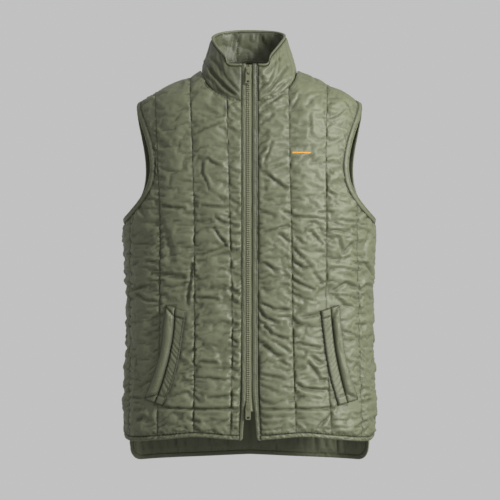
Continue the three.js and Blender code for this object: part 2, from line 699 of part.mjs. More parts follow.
function zipAndBands() {
  const { rightSeam, rightEdge, leftEdge, leftSeam } = openingCurves;
  const bandProfile = (height) => [
    { share: 0, low: 0.2, high: height * 0.75 },
    { share: 0.25, low: 0.2, high: height },
    { share: 0.75, low: 0.2, high: height },
    { share: 1, low: 0.2, high: height * 0.7 },
  ];
  const flat = (low, high) => [{ share: 0, low, high }, { share: 1, low, high }];
  const band = { low: -645, high: 0.5 };
  const tape = { low: ZIP.tapeFoot, high: ZIP.tapeTop, profile: flat(0.4, 1.5), material: TAPE };
  return [
    openingStrip('front_band_right', {
      fromX: (z) => -rightEdge(z), toX: (z) => SEAM_GAP - rightSeam(z), profile: bandProfile(3.6), ...band,
    }),
    openingStrip('front_band_left', {
      fromX: (z) => leftEdge(z), toX: (z) => leftSeam(z) - SEAM_GAP, profile: bandProfile(4.8), ...band,
    }),
    openingStrip('zip_tape_right', {
      fromX: () => ZIP.x - 0.3, toX: () => SEAM_GAP - rightEdge(-300), ...tape,
    }),
    openingStrip('zip_tape_left', {
      fromX: () => ZIP.x + 0.3, toX: () => leftEdge(-300) - SEAM_GAP, ...tape,
    }),
    openingStrip('zip_chain', {
      fromX: () => ZIP.x - 2.7, toX: () => ZIP.x + 2.7, low: ZIP.chainFoot, high: ZIP.chainTop,
      profile: flat(1.8, 4.2), material: TAPE,
    }),
  ];
}

// Seam points of the collar, from the zip on the wearer's right round the back to the zip on the left.
// Each sits above its panel's edge by what the panel's own wall needs.
function collarSeam() {
  const onPanel = (face, half_, mirror) => half_.top
    .map(({ angle, z }) => ({ point: bodyPoint(face, angle, z + SEAM_GAP), angle }))
    .filter(({ point }) => Math.abs(point.x) < NECK_HALF - 0.3)
    .map(({ point }) => {
      const up = Math.max(0, bodyNormal(face, point).z);
      return new THREE.Vector3(point.x * mirror, point.y, point.z + 0.5 + 2.6 * up);
    });
  const sidePoint = (mirror) => new THREE.Vector3(mirror * NECK_HALF, 0, NECK_SIDE_Z + 3.2);
  const right = onPanel('front', rightHalf, -1);
  const left = onPanel('front', leftHalf, 1);
  const backLeft = onPanel('back', backHalf, 1);
  const backRight = onPanel('back', backHalf, -1).slice(1).reverse();
  return [...right, sidePoint(-1), ...backRight, ...backLeft, sidePoint(1), ...left.reverse()];
}

// Adds the middle of each long step, so that the seam keeps its line and the top edge its corners.
function halved(points, longest) {
  const out = [points[0]];
  points.slice(1).forEach((point, i) => {
    const from = points[i];
    const parts = Math.ceil(from.distanceTo(point) / longest);
    for (let k = 1; k <= parts; k += 1) out.push(from.clone().lerp(point, k / parts));
  });
  return out;
}

// Points at given shares of length along a list of points.
function pointsAtShares(points, shares) {
  const done = lengthShares(points);
  return shares.map((share) => {
    let i = 0;
    while (i < points.length - 2 && done[i + 1] < share) i += 1;
    return points[i].clone().lerp(points[i + 1], clamp((share - done[i]) / (done[i + 1] - done[i]), 0, 1));
  });
}

function collarGrid() {
  const seam = halved(collarSeam(), 13);
  const corners = COLLAR_TOP.map(({ x, y, z }) => new THREE.Vector3(x, y, z));
  const edge = new THREE.CatmullRomCurve3(corners, false, 'centripetal').getPoints(240);
  const top = pointsAtShares(edge, lengthShares(seam));
  const normals = seam.map((point, i) => {
    const before = top[Math.max(0, i - 1)].clone().add(seam[Math.max(0, i - 1)]);
    const after = top[Math.min(top.length - 1, i + 1)].clone().add(seam[Math.min(top.length - 1, i + 1)]);
    const along = after.sub(before);
    const up = top[i].clone().sub(point);
    return along.cross(up).normalize();
  });
  const outward = normals[Math.floor(normals.length / 2)].y < 0 ? -1 : 1;
  normals.forEach((normal) => normal.multiplyScalar(outward));
  const at = (i, share, lift) => {
    const belly = COLLAR.belly * Math.sin(Math.PI * Math.min(1, share)) ** 0.8;
    return seam[i].clone().lerp(top[i], share).addScaledVector(normals[i], lift + belly);
  };
  return { count: seam.length, at, seam, top };
}

function collarPieces() {
  const { count, at, seam, top } = collarGrid();
  const stitchShare = seam.map((point, i) => 1 - COLLAR.binding / point.distanceTo(top[i]));
  const columns = Array.from({ length: count }, (_, i) => i);
  const rowGrid = (lift) => Array.from({ length: COLLAR.rows + 1 }, (_, row) =>
    columns.map((i) => at(i, (stitchShare[i] * row) / COLLAR.rows, lift)));
  const section = [
    { share: 0, low: 0.2, high: COLLAR.wall - 0.6 },
    { share: 0.4, low: -0.6, high: COLLAR.wall + 0.5 },
    { share: 1, low: 0.5, high: COLLAR.wall - 0.9 },
  ];
  const gapShare = SEAM_GAP / 40;
  const bindGrid = (key) => section.map((step) => columns.map((i) => {
    const share = mix(stitchShare[i] + gapShare, 1, step.share);
    return at(i, share, step[key]);
  }));
  return [
    cloth('collar', wallBetween(rowGrid(0), rowGrid(COLLAR.wall))),
    cloth('collar_binding', wallBetween(bindGrid('low'), bindGrid('high'))),
  ];
}

// A pocket: a padded welt along the outer edge, and a facing whose ends are thicker tabs.
function pocketPieces(side, rows, mirror) {
  const shape = pocketShape(rows);
  const build = (downs, outs, liftOf) => {
    const grid = (top) => downs.map((down) => outs.map((out) => {
      const { x, z } = shape.place(down, typeof out === 'function' ? out(down) : out);
      const lift = POCKET.base + POCKET.clear + (top ? liftOf(down, out) : 0);
      const point = lifted('front', angleAtX(x, z), z, lift);
      point.x *= mirror;
      return point;
    }));
    return wallBetween(grid(false), grid(true));
  };
  const downs = [0, 0.03, 0.085, 0.11, 0.25, 0.4, 0.55, 0.7, 0.89, 0.915, 0.97, 1];
  const tab = POCKET.tabShare;
  const gap = 0.012;
  const weltOut = (share) => (down) => {
    const start = shape.middleShare(down) + gap;
    return mix(start, 1, share);
  };
  const facingOut = (share) => (down) => share * (shape.middleShare(down) - gap);
  const weltShares = [0, 0.15, 0.5, 0.85, 1];
  const facingShares = [0, 0.5, 1];
  const welt = build(downs, weltShares.map(weltOut), (down, out) => {
    const across = (out(down) - shape.middleShare(down)) / (1 - shape.middleShare(down));
    const crown = 1 - Math.abs(2 * across - 1) ** 3;
    return 1.6 + (POCKET.welt - 1.6) * crown * (down === 0 || down === 1 ? 0.3 : 1);
  });
  const facing = build(downs, facingShares.map(facingOut), (down) => {
    const onTab = down <= tab || down >= 1 - tab;
    return onTab && down > 0 && down < 1 ? POCKET.tab : POCKET.facing;
  });
  return [cloth(`pocket_welt_${side}`, welt), cloth(`pocket_facing_${side}`, facing)];
}

// Turns a closed geometry into a solid that can be joined or cut, and back.
function solidOf(geometry) {
  const bare = geometry.clone();
  bare.deleteAttribute('normal');
  bare.deleteAttribute('uv');
  const merged = mergeVertices(bare, 1e-4);
  return new wasm.Manifold(new wasm.Mesh({
    numProp: 3,
    vertProperties: merged.attributes.position.array,
    triVerts: new Uint32Array(merged.index.array),
  }));
}

function geometryOf(solid) {
  const mesh = solid.getMesh();
  const geometry = new THREE.BufferGeometry();
  geometry.setAttribute('position', new THREE.BufferAttribute(new Float32Array(mesh.vertProperties), 3));
  geometry.setIndex(new THREE.BufferAttribute(new Uint32Array(mesh.triVerts), 1));
  geometry.computeVertexNormals();
  return geometry;
}

// Slider: a shield-shaped body that stands in front of the tapes, with a bridge that carries the pull.
const SLIDER = { width: 8, height: 17, thick: 3.4, shoulder: 2.6, bridgeWide: 1.7, bridgeTall: 9, bridgeOut: 4.2 };
const PULL = { width: 9, length: 21, thick: 1.5, bar: 1.5, window: 4.4, windowTall: 4.2, hole: 4.6, holeTall: 3.4 };
const PIVOT_OUT = 1.5; // the pull's bar stands this far in front of the slider's face

// A flat outline in the XZ plane made into a plate whose back face is at y = 0 and front at y = -thick.
function plate(shape, thick) {
  const geometry = new THREE.ExtrudeGeometry(shape, { depth: thick, bevelEnabled: false, curveSegments: 5 });
  return geometry.rotateX(SQUARE);
}

function sliderGeometry() {
  const { width, height, thick, shoulder, bridgeWide, bridgeTall, bridgeOut } = SLIDER;
  const outline = new THREE.Shape();
  outline.moveTo(-width / 2 + shoulder / 2, -height / 2);
  outline.lineTo(width / 2 - shoulder / 2, -height / 2);
  outline.lineTo(width / 2, 0);
  outline.quadraticCurveTo(width / 2, height / 2 - shoulder, width / 2 - shoulder / 2, height / 2);
  outline.lineTo(-width / 2 + shoulder / 2, height / 2);
  outline.quadraticCurveTo(-width / 2, height / 2 - shoulder, -width / 2, 0);
  const body = plate(outline, thick);
  const arch = new THREE.Shape();
  arch.moveTo(0.8, -bridgeTall / 2);
  arch.lineTo(-bridgeOut, -bridgeTall / 2);
  arch.lineTo(-bridgeOut, bridgeTall / 2);
  arch.lineTo(0.8, bridgeTall / 2);
  arch.lineTo(0.8, bridgeTall / 2 - 1.5);
  arch.lineTo(-bridgeOut + 1.3, bridgeTall / 2 - 1.5);
  arch.lineTo(-bridgeOut + 1.3, -bridgeTall / 2 + 1.5);
  arch.lineTo(0.8, -bridgeTall / 2 + 1.5);
  const bridge = new THREE.ExtrudeGeometry(arch, { depth: bridgeWide, bevelEnabled: false });
  bridge.translate(0, 0, -bridgeWide / 2);
  const upright = new THREE.Matrix4().makeBasis(
    new THREE.Vector3(0, 1, 0), new THREE.Vector3(0, 0, 1), new THREE.Vector3(1, 0, 0),
  );
  bridge.applyMatrix4(upright).translate(0, -thick, 0);
  return geometryOf(solidOf(body).add(solidOf(bridge)));
}

// Pull tab: its bar lies on the pivot, its sides pass the bridge, and a small slot is near its foot.
function pullGeometry() {
  const { width, length, thick, bar, window, windowTall, hole, holeTall } = PULL;
  const top = bar / 2;
  const foot = top - length;
  const round = 2.4;
  const outline = new THREE.Shape();
  outline.moveTo(-width / 2 + 0.8, top);
  outline.lineTo(width / 2 - 0.8, top);
  outline.lineTo(width / 2, top - 1.2);
  outline.lineTo(width / 2, foot + round);
  outline.quadraticCurveTo(width / 2, foot, width / 2 - round, foot);
  outline.lineTo(-width / 2 + round, foot);
  outline.quadraticCurveTo(-width / 2, foot, -width / 2, foot + round);
  outline.lineTo(-width / 2, top - 1.2);
  const slot = (wide, high, low) => {
    const path = new THREE.Path();
    path.moveTo(-wide / 2, low);
    path.lineTo(wide / 2, low);
    path.lineTo(wide / 2, high);
    path.lineTo(-wide / 2, high);
    return path;
  };
  outline.holes.push(slot(window, -bar / 2, -bar / 2 - windowTall));
  outline.holes.push(slot(hole, foot + 2 + holeTall, foot + 2));
  return plate(outline, thick).translate(0, thick / 2, 0);
}

// A slider and its pull, tilted with the cloth that the zip lies on.
function sliderPair(name, z) {
  const lean = centreFront(ZIP.x, z + 10, 0).sub(centreFront(ZIP.x, z - 10, 0));
  const tilt = -Math.atan2(lean.y, lean.z);
  const holder = new THREE.Group();
  holder.position.copy(centreFront(ZIP.x, z, 1.9));
  holder.rotation.x = tilt;
  const pull = cloth(`pull_${name}`, pullGeometry(), METAL);
  pull.position.set(0, -SLIDER.thick - PIVOT_OUT, -SLIDER.bridgeTall / 2 + 3);
  holder.add(cloth(`slider_${name}`, sliderGeometry(), METAL), pull);
  return holder;
}

const vest = new THREE.Group();
vest.add(
  ...frontPanels(),
  backPanel(),
  ...collarPieces(),
  armholeBinding('armhole_binding_right', -1),
  armholeBinding('armhole_binding_left', 1),
  ...hemBindings(),
  ...zipAndBands(),
  ...pocketPieces('right', RIGHT_POCKET, -1),
  ...pocketPieces('left', LEFT_POCKET, 1),
  sliderPair('top', -14),
  sliderPair('bottom', -588),
);

export default vest;
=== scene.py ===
"""A quilted vest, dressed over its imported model: padded panels, collar, bindings, pockets, zip and sewing.

Tables and sizes are in millimetres, in the frame of the model, and every mesh is written in metres.
"""

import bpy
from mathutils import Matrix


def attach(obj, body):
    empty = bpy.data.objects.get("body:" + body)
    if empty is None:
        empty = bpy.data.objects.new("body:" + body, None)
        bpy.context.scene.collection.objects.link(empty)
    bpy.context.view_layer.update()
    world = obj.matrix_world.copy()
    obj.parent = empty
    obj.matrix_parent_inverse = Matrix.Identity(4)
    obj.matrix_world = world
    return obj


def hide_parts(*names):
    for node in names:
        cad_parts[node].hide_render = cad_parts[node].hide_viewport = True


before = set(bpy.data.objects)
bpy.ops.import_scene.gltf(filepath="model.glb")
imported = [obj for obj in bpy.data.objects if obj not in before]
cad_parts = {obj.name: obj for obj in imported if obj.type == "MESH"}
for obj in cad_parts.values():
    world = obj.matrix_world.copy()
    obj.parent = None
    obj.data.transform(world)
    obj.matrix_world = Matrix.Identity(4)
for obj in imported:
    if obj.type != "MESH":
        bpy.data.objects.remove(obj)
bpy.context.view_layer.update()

import logging
import math
from collections.abc import Sequence
from dataclasses import dataclass
from enum import Enum
from functools import partial

import bpy
import numpy as np
from mathutils import Vector

log = logging.getLogger("vest")
Array = np.ndarray
Number = Array | float
Pair = tuple[Array, Array]
Object = bpy.types.Object
Material = bpy.types.Material

# The body's oval sections: height, half width, and how far the front and the back stand off the side seams.
SECTIONS = (
    (-720, 217.5, 121, 117), (-628, 217.5, 121, 113), (-549, 216.5, 119, 108), (-478, 213, 117.5, 103),
    (-408, 212.5, 119, 102), (-320, 216, 123, 107), (-259, 218, 124, 112), (-200, 213.5, 121, 114),
    (-130, 207.5, 113, 111), (-97, 204.5, 106, 105.5), (-79, 201, 100.5, 100.5), (-67, 195, 96.5, 96.5),
    (-59, 184.5, 93.5, 93), (-47, 162.5, 89, 89), (-25.5, 116, 80, 79), (-10, 81, 72.5, 70.5),
    (20, 71, 64, 58),
)
ROUNDNESS = 2.3
NECK_HALF, NECK_SIDE_Z, NECK_FRONT_DROP, NECK_BACK_RISE = 81.0, -10.0, 56.0, 25.0
UNDERARM_Z, SHOULDER_TIP_Z = -263.0, -67.0
ARMHOLE_FRONT, ARMHOLE_BACK, ARMHOLE_BLUNT, ARMHOLE_LOW = 77.0, 63.0, 0.85, 0.25
HEM_BAND, ARMHOLE_BAND, SEAM_GAP = 8.0, 12.0, 0.3
LEVELS = (-50, -160, -300, -450, -640)
SQUARE = math.pi / 2


class Face(Enum):
    """Which half of the body a point is on, as the sign of its depth."""

    FRONT = -1
    BACK = 1


class Side(Enum):
    """The wearer's side, as the sign of x."""

    RIGHT = -1
    LEFT = 1


class Curve:
    """A smooth curve through points that never overshoots them."""

    def __init__(self, at: Sequence[float], values: Sequence[float]) -> None:
        """Keeps the points in rising order and works out the slope at each.

        Args:
            at: where the points are.
            values: the height at each.
        """
        order = np.argsort(at)
        self.t = np.asarray(at, float)[order]
        self.v = np.asarray(values, float)[order]
        slopes = np.diff(self.v) / np.diff(self.t)
        before, after = slopes[:-1], slopes[1:]
        same = before * after > 0
        inner = np.where(same, 2 * before * after / np.where(same, before + after, 1), 0)
        self.m = np.concatenate([slopes[:1], inner, slopes[-1:]])

    def __call__(self, value: Number) -> Array:
        """The curve's height at each value, held level past its ends.

        Args:
            value: where to read it.

        Returns:
            The heights.
        """
        x = np.clip(value, self.t[0], self.t[-1])
        i = np.clip(np.searchsorted(self.t, x, side="right") - 1, 0, len(self.t) - 2)
        width = self.t[i + 1] - self.t[i]
        s = (x - self.t[i]) / width
        rise = s * s * (3 - 2 * s)
        bend = s * (1 - s) ** 2 * self.m[i] - s * s * (1 - s) * self.m[i + 1]
        return self.v[i] * (1 - rise) + self.v[i + 1] * rise + width * bend


def smooth(low: float, high: float, value: Number) -> Array:
    """A step that eases from 0 at low to 1 at high."""
    s = np.clip((np.asarray(value, float) - low) / (high - low), 0, 1)
    return s * s * (3 - 2 * s)


def mix(a: Number, b: Number, share: Number) -> Array:
    """The value a share of the way from a to b."""
    return a + (b - a) * share


def bump(value: Array, width: Number) -> Array:
    """A round bump, 1 at 0, that falls off over a width."""
    return np.exp(-((value / width) ** 2))


def unit(vectors: Array) -> Array:
    """The vectors, each made one long."""
    return vectors / np.maximum(np.linalg.norm(vectors, axis=-1, keepdims=True), 1e-9)


def run_length(points: Array) -> Array:
    """Distance along a line of points at each of them."""
    return np.concatenate([[0], np.cumsum(np.linalg.norm(np.diff(points, axis=0), axis=-1))])


def length_shares(points: Array) -> Array:
    """Share of the length that each point of a line lies at."""
    sums = run_length(points)
    return sums / sums[-1]


def resampled(points: Array, shares: Array) -> Array:
    """Points at the given shares of the length of a line."""
    done = length_shares(points)
    return np.stack([np.interp(shares, done, points[:, k]) for k in range(points.shape[1])], axis=1)


def hollows(height: Array, reach: int, deep: float) -> Array:
    """How far each point of a relief lies in a hollow, from 0 to 1.

    Args:
        height: rows by columns, with the rows along the cloth.
        reach: how many neighbours away the level round a point is taken.
        deep: the depth in millimetres that counts as 1.

    Returns:
        Rows by columns.
    """
    level = height
    for _ in range(reach):
        padded = np.pad(level, 1, mode="edge")
        rows = padded[:-2, 1:-1] + padded[2:, 1:-1] + padded[1:-1, 1:-1]
        level = (rows + padded[1:-1, :-2] + padded[1:-1, 2:]) / 5
    return np.clip((level - height) / deep, 0, 1)


def fixed_number(a: Array, b: Array, seed: int) -> Array:
    """A number from 0 to 1 for each pair of whole numbers, always the same.

    Args:
        a: the first of each pair.
        b: the second.
        seed: chooses the pattern.

    Returns:
        The numbers.
    """
    h = (a * 374761393 + b * 668265263 + seed * 974634777) & 0x7FFFFFFF
    h = ((h ^ (h >> 13)) * 1274126177) & 0x7FFFFFFF
    return ((h ^ (h >> 16)) & 0xFFFF) / 65535.0


def noise(x: Array, y: Array, seed: int) -> Array:
    """Smooth noise from 0 to 1, one hump to a unit square of x and y.

    Args:
        x: one way.
        y: the other way.
        seed: chooses the pattern.

    Returns:
        The noise.
    """
    x, y = np.broadcast_arrays(np.asarray(x, float), np.asarray(y, float))
    ix, iy = np.floor(x).astype(np.int64), np.floor(y).astype(np.int64)
    fx, fy = x - ix, y - iy
    fx, fy = fx**3 * (fx * (fx * 6 - 15) + 10), fy**3 * (fy * (fy * 6 - 15) + 10)
    low = mix(fixed_number(ix, iy, seed), fixed_number(ix + 1, iy, seed), fx)
    high = mix(fixed_number(ix, iy + 1, seed), fixed_number(ix + 1, iy + 1, seed), fx)
    return mix(low, high, fy)


def pleats(phase: Array, seed: int) -> Array:
    """Uneven pleats with sharp valleys, one to a unit of phase, from -0.6 to 0.4."""
    strayed = phase + 0.9 * noise(phase * 0.7, 0 * phase, seed)
    return np.abs(np.sin(np.pi * strayed)) ** 0.6 - 0.6


def crushed(x: Array, y: Array, seed: int) -> Array:
    """Relief of crushed cloth, from 0 up: hollows that meet in sharp ridges, one to a unit square.

    Args:
        x: one way.
        y: the other way.
        seed: chooses the pattern.

    Returns:
        The relief.
    """
    x = x + 0.9 * (noise(x * 0.9, y * 0.9, seed + 1) - 0.5)
    y = y + 0.9 * (noise(x * 0.9 + 7.3, y * 0.9, seed + 2) - 0.5)
    ix, iy = np.floor(x).astype(np.int64), np.floor(y).astype(np.int64)
    best = np.full(x.shape, 9.0)
    for step in range(9):
        cx, cy = ix + step % 3 - 1, iy + step // 3 - 1
        away = np.hypot(x - cx - fixed_number(cx, cy, seed), y - cy - fixed_number(cx, cy, seed + 3))
        best = np.minimum(best, away)
    return best**1.6


def ridged(x: Array, y: Array, seed: int) -> Array:
    """Noise with sharp valleys and round tops, about -0.45 to 0.55."""
    return np.abs(2 * noise(x, y, seed) - 1) ** 0.8 - 0.45


class BodyForm:
    """The worn shape that every piece of cloth lies on."""

    def __init__(self) -> None:
        """Makes a smooth curve of each size over the height."""
        z, half, front, back = zip(*SECTIONS)
        self.half = Curve(z, half)
        self.front = Curve(z, front)
        self.back = Curve(z, back)

    def deep(self, sign: Number, z: Array) -> Array:
        """How far the front (sign below 0) or the back stands off the side seams."""
        return np.where(np.asarray(sign) < 0, self.front(z), self.back(z))

    def angle_at_x(self, x: Array, z: Array) -> Array:
        """Angle round the section without a sign, 0 at the centre and a right angle at the side seam."""
        return np.arcsin(np.minimum(1, np.abs(x) / self.half(z)) ** (ROUNDNESS / 2))

    def angle_at_depth(self, depth: Array, z: Array, sign: Number) -> Array:
        """Angle round the section of a point at a depth from the side seams."""
        return np.arccos(np.minimum(1, np.abs(depth) / self.deep(sign, z)) ** (ROUNDNESS / 2))

    def point(self, sign: Number, angle: Array, z: Array, side: Number = 1) -> Array:
        """Points of the body form.

        Args:
            sign: -1 in front, 1 behind.
            angle: angle round the section.
            z: height.
            side: -1 turns them to the other side.

        Returns:
            Places by 3.
        """
        across = np.sign(angle) * np.abs(np.sin(angle)) ** (2 / ROUNDNESS) * self.half(z)
        along = np.maximum(0, np.cos(angle)) ** (2 / ROUNDNESS) * self.deep(sign, z)
        return np.stack(np.broadcast_arrays(side * across, np.sign(sign) * along, z), axis=-1)

    def normal(self, sign: Number, points: Array) -> Array:
        """Outward normals at points of the body form.

        Args:
            sign: -1 in front, 1 behind.
            points: the points.

        Returns:
            A unit vector for each.
        """
        step = 0.5
        x, y, z = np.moveaxis(points, -1, 0)
        wide, deep = self.half(z), self.deep(sign, z)
        wide_slope = self.half(z + step) - self.half(z - step)
        deep_slope = self.deep(sign, z + step) - self.deep(sign, z - step)
        nx = np.sign(x) * (np.abs(x) / wide) ** (ROUNDNESS - 1) / wide
        ny = np.sign(sign) * (np.abs(y) / deep) ** (ROUNDNESS - 1) / deep
        nz = -((np.abs(x) / wide) ** ROUNDNESS) * wide_slope / wide
        nz = nz - ((np.abs(y) / deep) ** ROUNDNESS) * deep_slope / deep
        return unit(np.stack([nx, ny, nz], axis=-1))

    def lifted(self, sign: Number, angle: Array, z: Array, lift: Number, side: Number = 1) -> Array:
        """Points that stand off the body form by a lift."""
        base = self.point(sign, angle, z, side)
        return base + self.normal(sign, base) * np.asarray(lift)[..., None]

    def top_edge(self, sign: float, x: Array) -> Array:
        """Height of the neckline, and past the side neck point of the shoulder seam.

        Args:
            sign: -1 in front, 1 behind.
            x: signed distance from the centre.

        Returns:
            The heights.
        """
        reach = np.abs(np.asarray(x, float))
        bow = np.sqrt(np.maximum(0, 1 - (reach / NECK_HALF) ** 2))
        neckline = NECK_SIDE_Z + (-NECK_FRONT_DROP if sign < 0 else NECK_BACK_RISE) * bow
        heights = np.linspace(SHOULDER_TIP_Z, NECK_SIDE_Z, 400)
        ridge = np.interp(-reach, -self.half(heights), heights)
        return np.where(reach < NECK_HALF, neckline, ridge)


BODY = BodyForm()


class Armhole:
    """The egg-shaped arm opening, in turns from 0 at the shoulder tip to a half turn under the arm."""

    def edge(self, sign: float, turn: Array) -> Pair:
        """Angle and height of the free edge.

        Args:
            sign: -1 on the front, 1 on the back.
            turn: where round the opening, in radians.

        Returns:
            The angle round the section, and the height.
        """
        radius = (SHOULDER_TIP_Z - UNDERARM_Z) / 2
        z = SHOULDER_TIP_Z - radius + radius * np.cos(turn)
        reach = np.maximum(0, np.sin(turn)) ** ARMHOLE_BLUNT * (1 - ARMHOLE_LOW * np.cos(turn))
        deep = (ARMHOLE_FRONT if sign < 0 else ARMHOLE_BACK) * reach
        return BODY.angle_at_depth(deep, z, sign), z

    def away(self, sign: float, turn: Array, distance: float) -> Pair:
        """Angle and height of the line that lies a distance from the edge, along the cloth.

        Args:
            sign: -1 in front, 1 behind.
            turn: where round the opening, in radians.
            distance: in millimetres.

        Returns:
            The angles and the heights.
        """
        step = 0.02
        turn = np.asarray(turn, float)
        angle, z = self.edge(sign, turn)
        inner = np.clip(turn, step, math.pi - step)
        before = BODY.point(sign, *self.edge(sign, inner - step))
        after = BODY.point(sign, *self.edge(sign, inner + step))
        here = BODY.point(sign, angle, z)
        out = unit(np.cross(after - before, BODY.normal(sign, here)))
        centre = np.stack([BODY.half(z), 0 * z, 0 * z + (SHOULDER_TIP_Z + UNDERARM_Z) / 2], axis=-1)
        out = out * np.sign(np.sum(out * (here - centre), axis=-1, keepdims=True))
        moved = here + out * distance
        across = (np.abs(moved[..., 0]) / BODY.half(moved[..., 2])) ** (ROUNDNESS / 2)
        along = (np.abs(moved[..., 1]) / BODY.deep(sign, moved[..., 2])) ** (ROUNDNESS / 2)
        new_angle, new_z = np.arctan2(across, along), moved[..., 2]
        low, high = turn > math.pi - step, turn < step
        heights = np.linspace(SHOULDER_TIP_Z, SHOULDER_TIP_Z + 2 * distance, 60)
        tip = float(BODY.half(SHOULDER_TIP_Z))
        reach = np.hypot(BODY.half(heights) - tip, heights - SHOULDER_TIP_Z)
        top_z = float(np.interp(distance, reach, heights))
        new_angle = np.where(low | high, SQUARE, new_angle)
        new_z = np.where(low, z - distance, np.where(high, top_z, new_z))
        return new_angle, new_z


ARMHOLE = Armhole()


@dataclass(frozen=True)
class Vent:
    """The slit at the foot of a side seam, and the rounded corner below it."""

    hem: tuple[tuple[float, float], ...]
    spread: float
    corner_depth: float
    corner_rise: float
    top: float = -572.0

    def foot(self, x: Array) -> Array:
        """Height of the hem's edge at a distance from the centre."""
        return Curve(*zip(*self.hem))(np.abs(x))

    def side_depth(self, z: Array, inset: float) -> Array:
        """Depth of the side edge at a height, or of a line inset from it.

        Args:
            z: height.
            inset: distance from the edge.

        Returns:
            The depth.
        """
        corner_top = float(self.foot(float(BODY.half(-650.0)))) + self.corner_rise
        opened = 1 - smooth(corner_top, self.top, z)
        band = inset * (1 - smooth(self.top - 14, self.top, z))
        return SEAM_GAP / 2 + (self.spread - SEAM_GAP / 2) * opened + band

    def lower_edge(self, x: Array, depth: Array, inset: float) -> Array:
        """Height of the lower edge round the corner, or of a line inset from it."""
        across = np.clip((self.spread + self.corner_depth - depth) / (self.corner_depth - inset), 0, 1)
        return self.foot(x) + self.corner_rise - (self.corner_rise - inset) * np.sqrt(1 - across**2)


FRONT_VENT = Vent(((0, -645.5), (32, -644), (90, -640), (150, -646), (203, -652), (218, -653)), 0.3, 56, 36)
BACK_VENT = Vent(((0, -689.5), (97, -693), (218, -694.5)), 36, 28, 34)


def write_mesh(name: str, points: Array, faces: Sequence[Sequence[int]], rounded: bool = True) -> Object:
    """Makes an object from points in millimetres.

    Args:
        name: the object's name.
        points: the vertices, in millimetres.
        faces: the corners of each face, turned to point out.
        rounded: whether the faces are shaded smooth.

    Returns:
        The new object, linked into the scene.
    """
    mesh = bpy.data.meshes.new(name)
    mesh.from_pydata((np.asarray(points) / 1000).tolist(), [], [list(f) for f in faces])
    mesh.polygons.foreach_set("use_smooth", [rounded] * len(mesh.polygons))
    mesh.update()
    piece = bpy.data.objects.new(name, mesh)
    bpy.context.scene.collection.objects.link(piece)
    return piece


def turned_out(points: Array, faces: Array) -> Array:
    """The faces of a closed shape, turned so that they point out.

    Args:
        points: the points.
        faces: the corners of each, by four.

    Returns:
        The faces.
    """
    tri = np.concatenate([faces[:, [0, 1, 2]], faces[:, [0, 2, 3]]])
    a, b, c = (points[tri[:, k]] for k in range(3))
    volume = np.sum(a * np.cross(b, c))
    return faces if volume > 0 else faces[:, ::-1]


def wall(name: str, inner: Array, outer: Array) -> Object:
    """A closed padded wall between two grids of points.

    Args:
        name: the object's name.
        inner: rows by columns by 3, the side next to the body.
        outer: the same, the side that shows.

    Returns:
        The new object; its first points are the outer grid's.
    """
    rows, columns = outer.shape[:2]
    layer = rows * columns
    ids = np.arange(layer).reshape(rows, columns)
    quads = np.stack([ids[:-1, :-1], ids[:-1, 1:], ids[1:, 1:], ids[1:, :-1]], axis=-1).reshape(-1, 4)
    loop = np.concatenate([ids[0, :], ids[1:, -1], ids[-1, -2::-1], ids[-2:0:-1, 0]])
    nxt = np.roll(loop, -1)
    rim = np.stack([nxt, loop, loop + layer, nxt + layer], axis=-1)
    faces = np.concatenate([quads, quads[:, ::-1] + layer, rim])
    points = np.concatenate([outer.reshape(-1, 3), inner.reshape(-1, 3)])
    return write_mesh(name, points, turned_out(points, faces))


def tube(name: str, rings: Array, closed: bool = False) -> Object:
    """A tube through cross-section rings, capped at its ends unless it closes on itself.

    Args:
        name: the object's name.
        rings: stations by points of the section by 3.
        closed: whether the last ring joins the first.

    Returns:
        The new object.
    """
    count, size = rings.shape[:2]
    ids = np.arange(count * size).reshape(count, size)
    nxt = np.roll(ids, -1, axis=1)
    after = np.roll(ids, -1, axis=0)
    after_nxt = np.roll(nxt, -1, axis=0)
    quads = np.stack([ids, nxt, after_nxt, after], axis=-1)
    quads = (quads if closed else quads[:-1]).reshape(-1, 4)
    points = rings.reshape(-1, 3)
    if closed:
        return write_mesh(name, points, turned_out(points, quads))
    caps = []
    for ring, flip in ((ids[0], True), (ids[-1], False)):
        half = size // 2
        strip = [[ring[k], ring[k + 1], ring[size - 2 - k], ring[size - 1 - k]] for k in range(half - 1)]
        caps += [quad[::-1] if flip else quad for quad in strip]
    faces = np.concatenate([quads, np.asarray(caps)])
    return write_mesh(name, points, turned_out(points, faces))


def set_seam_and_shade(piece: Object, values: Array) -> None:
    """Writes how dark each point is painted, as the attribute seam: 1 on sewing and 0 away from it, and
    raised by painted shade in hollows, creases and beside raised parts.

    Args:
        piece: the object.
        values: one for each of the first points; the rest are 0.
    """
    attribute = piece.data.attributes.new("seam", "FLOAT", "POINT")
    filled = np.zeros(len(piece.data.vertices), np.float32)
    filled[: values.size] = values.ravel()
    attribute.data.foreach_set("value", filled)


def angle_signed(x: Array, z: Array) -> Array:
    """Angle round the section with the sign of x."""
    return np.sign(x) * BODY.angle_at_x(x, z)


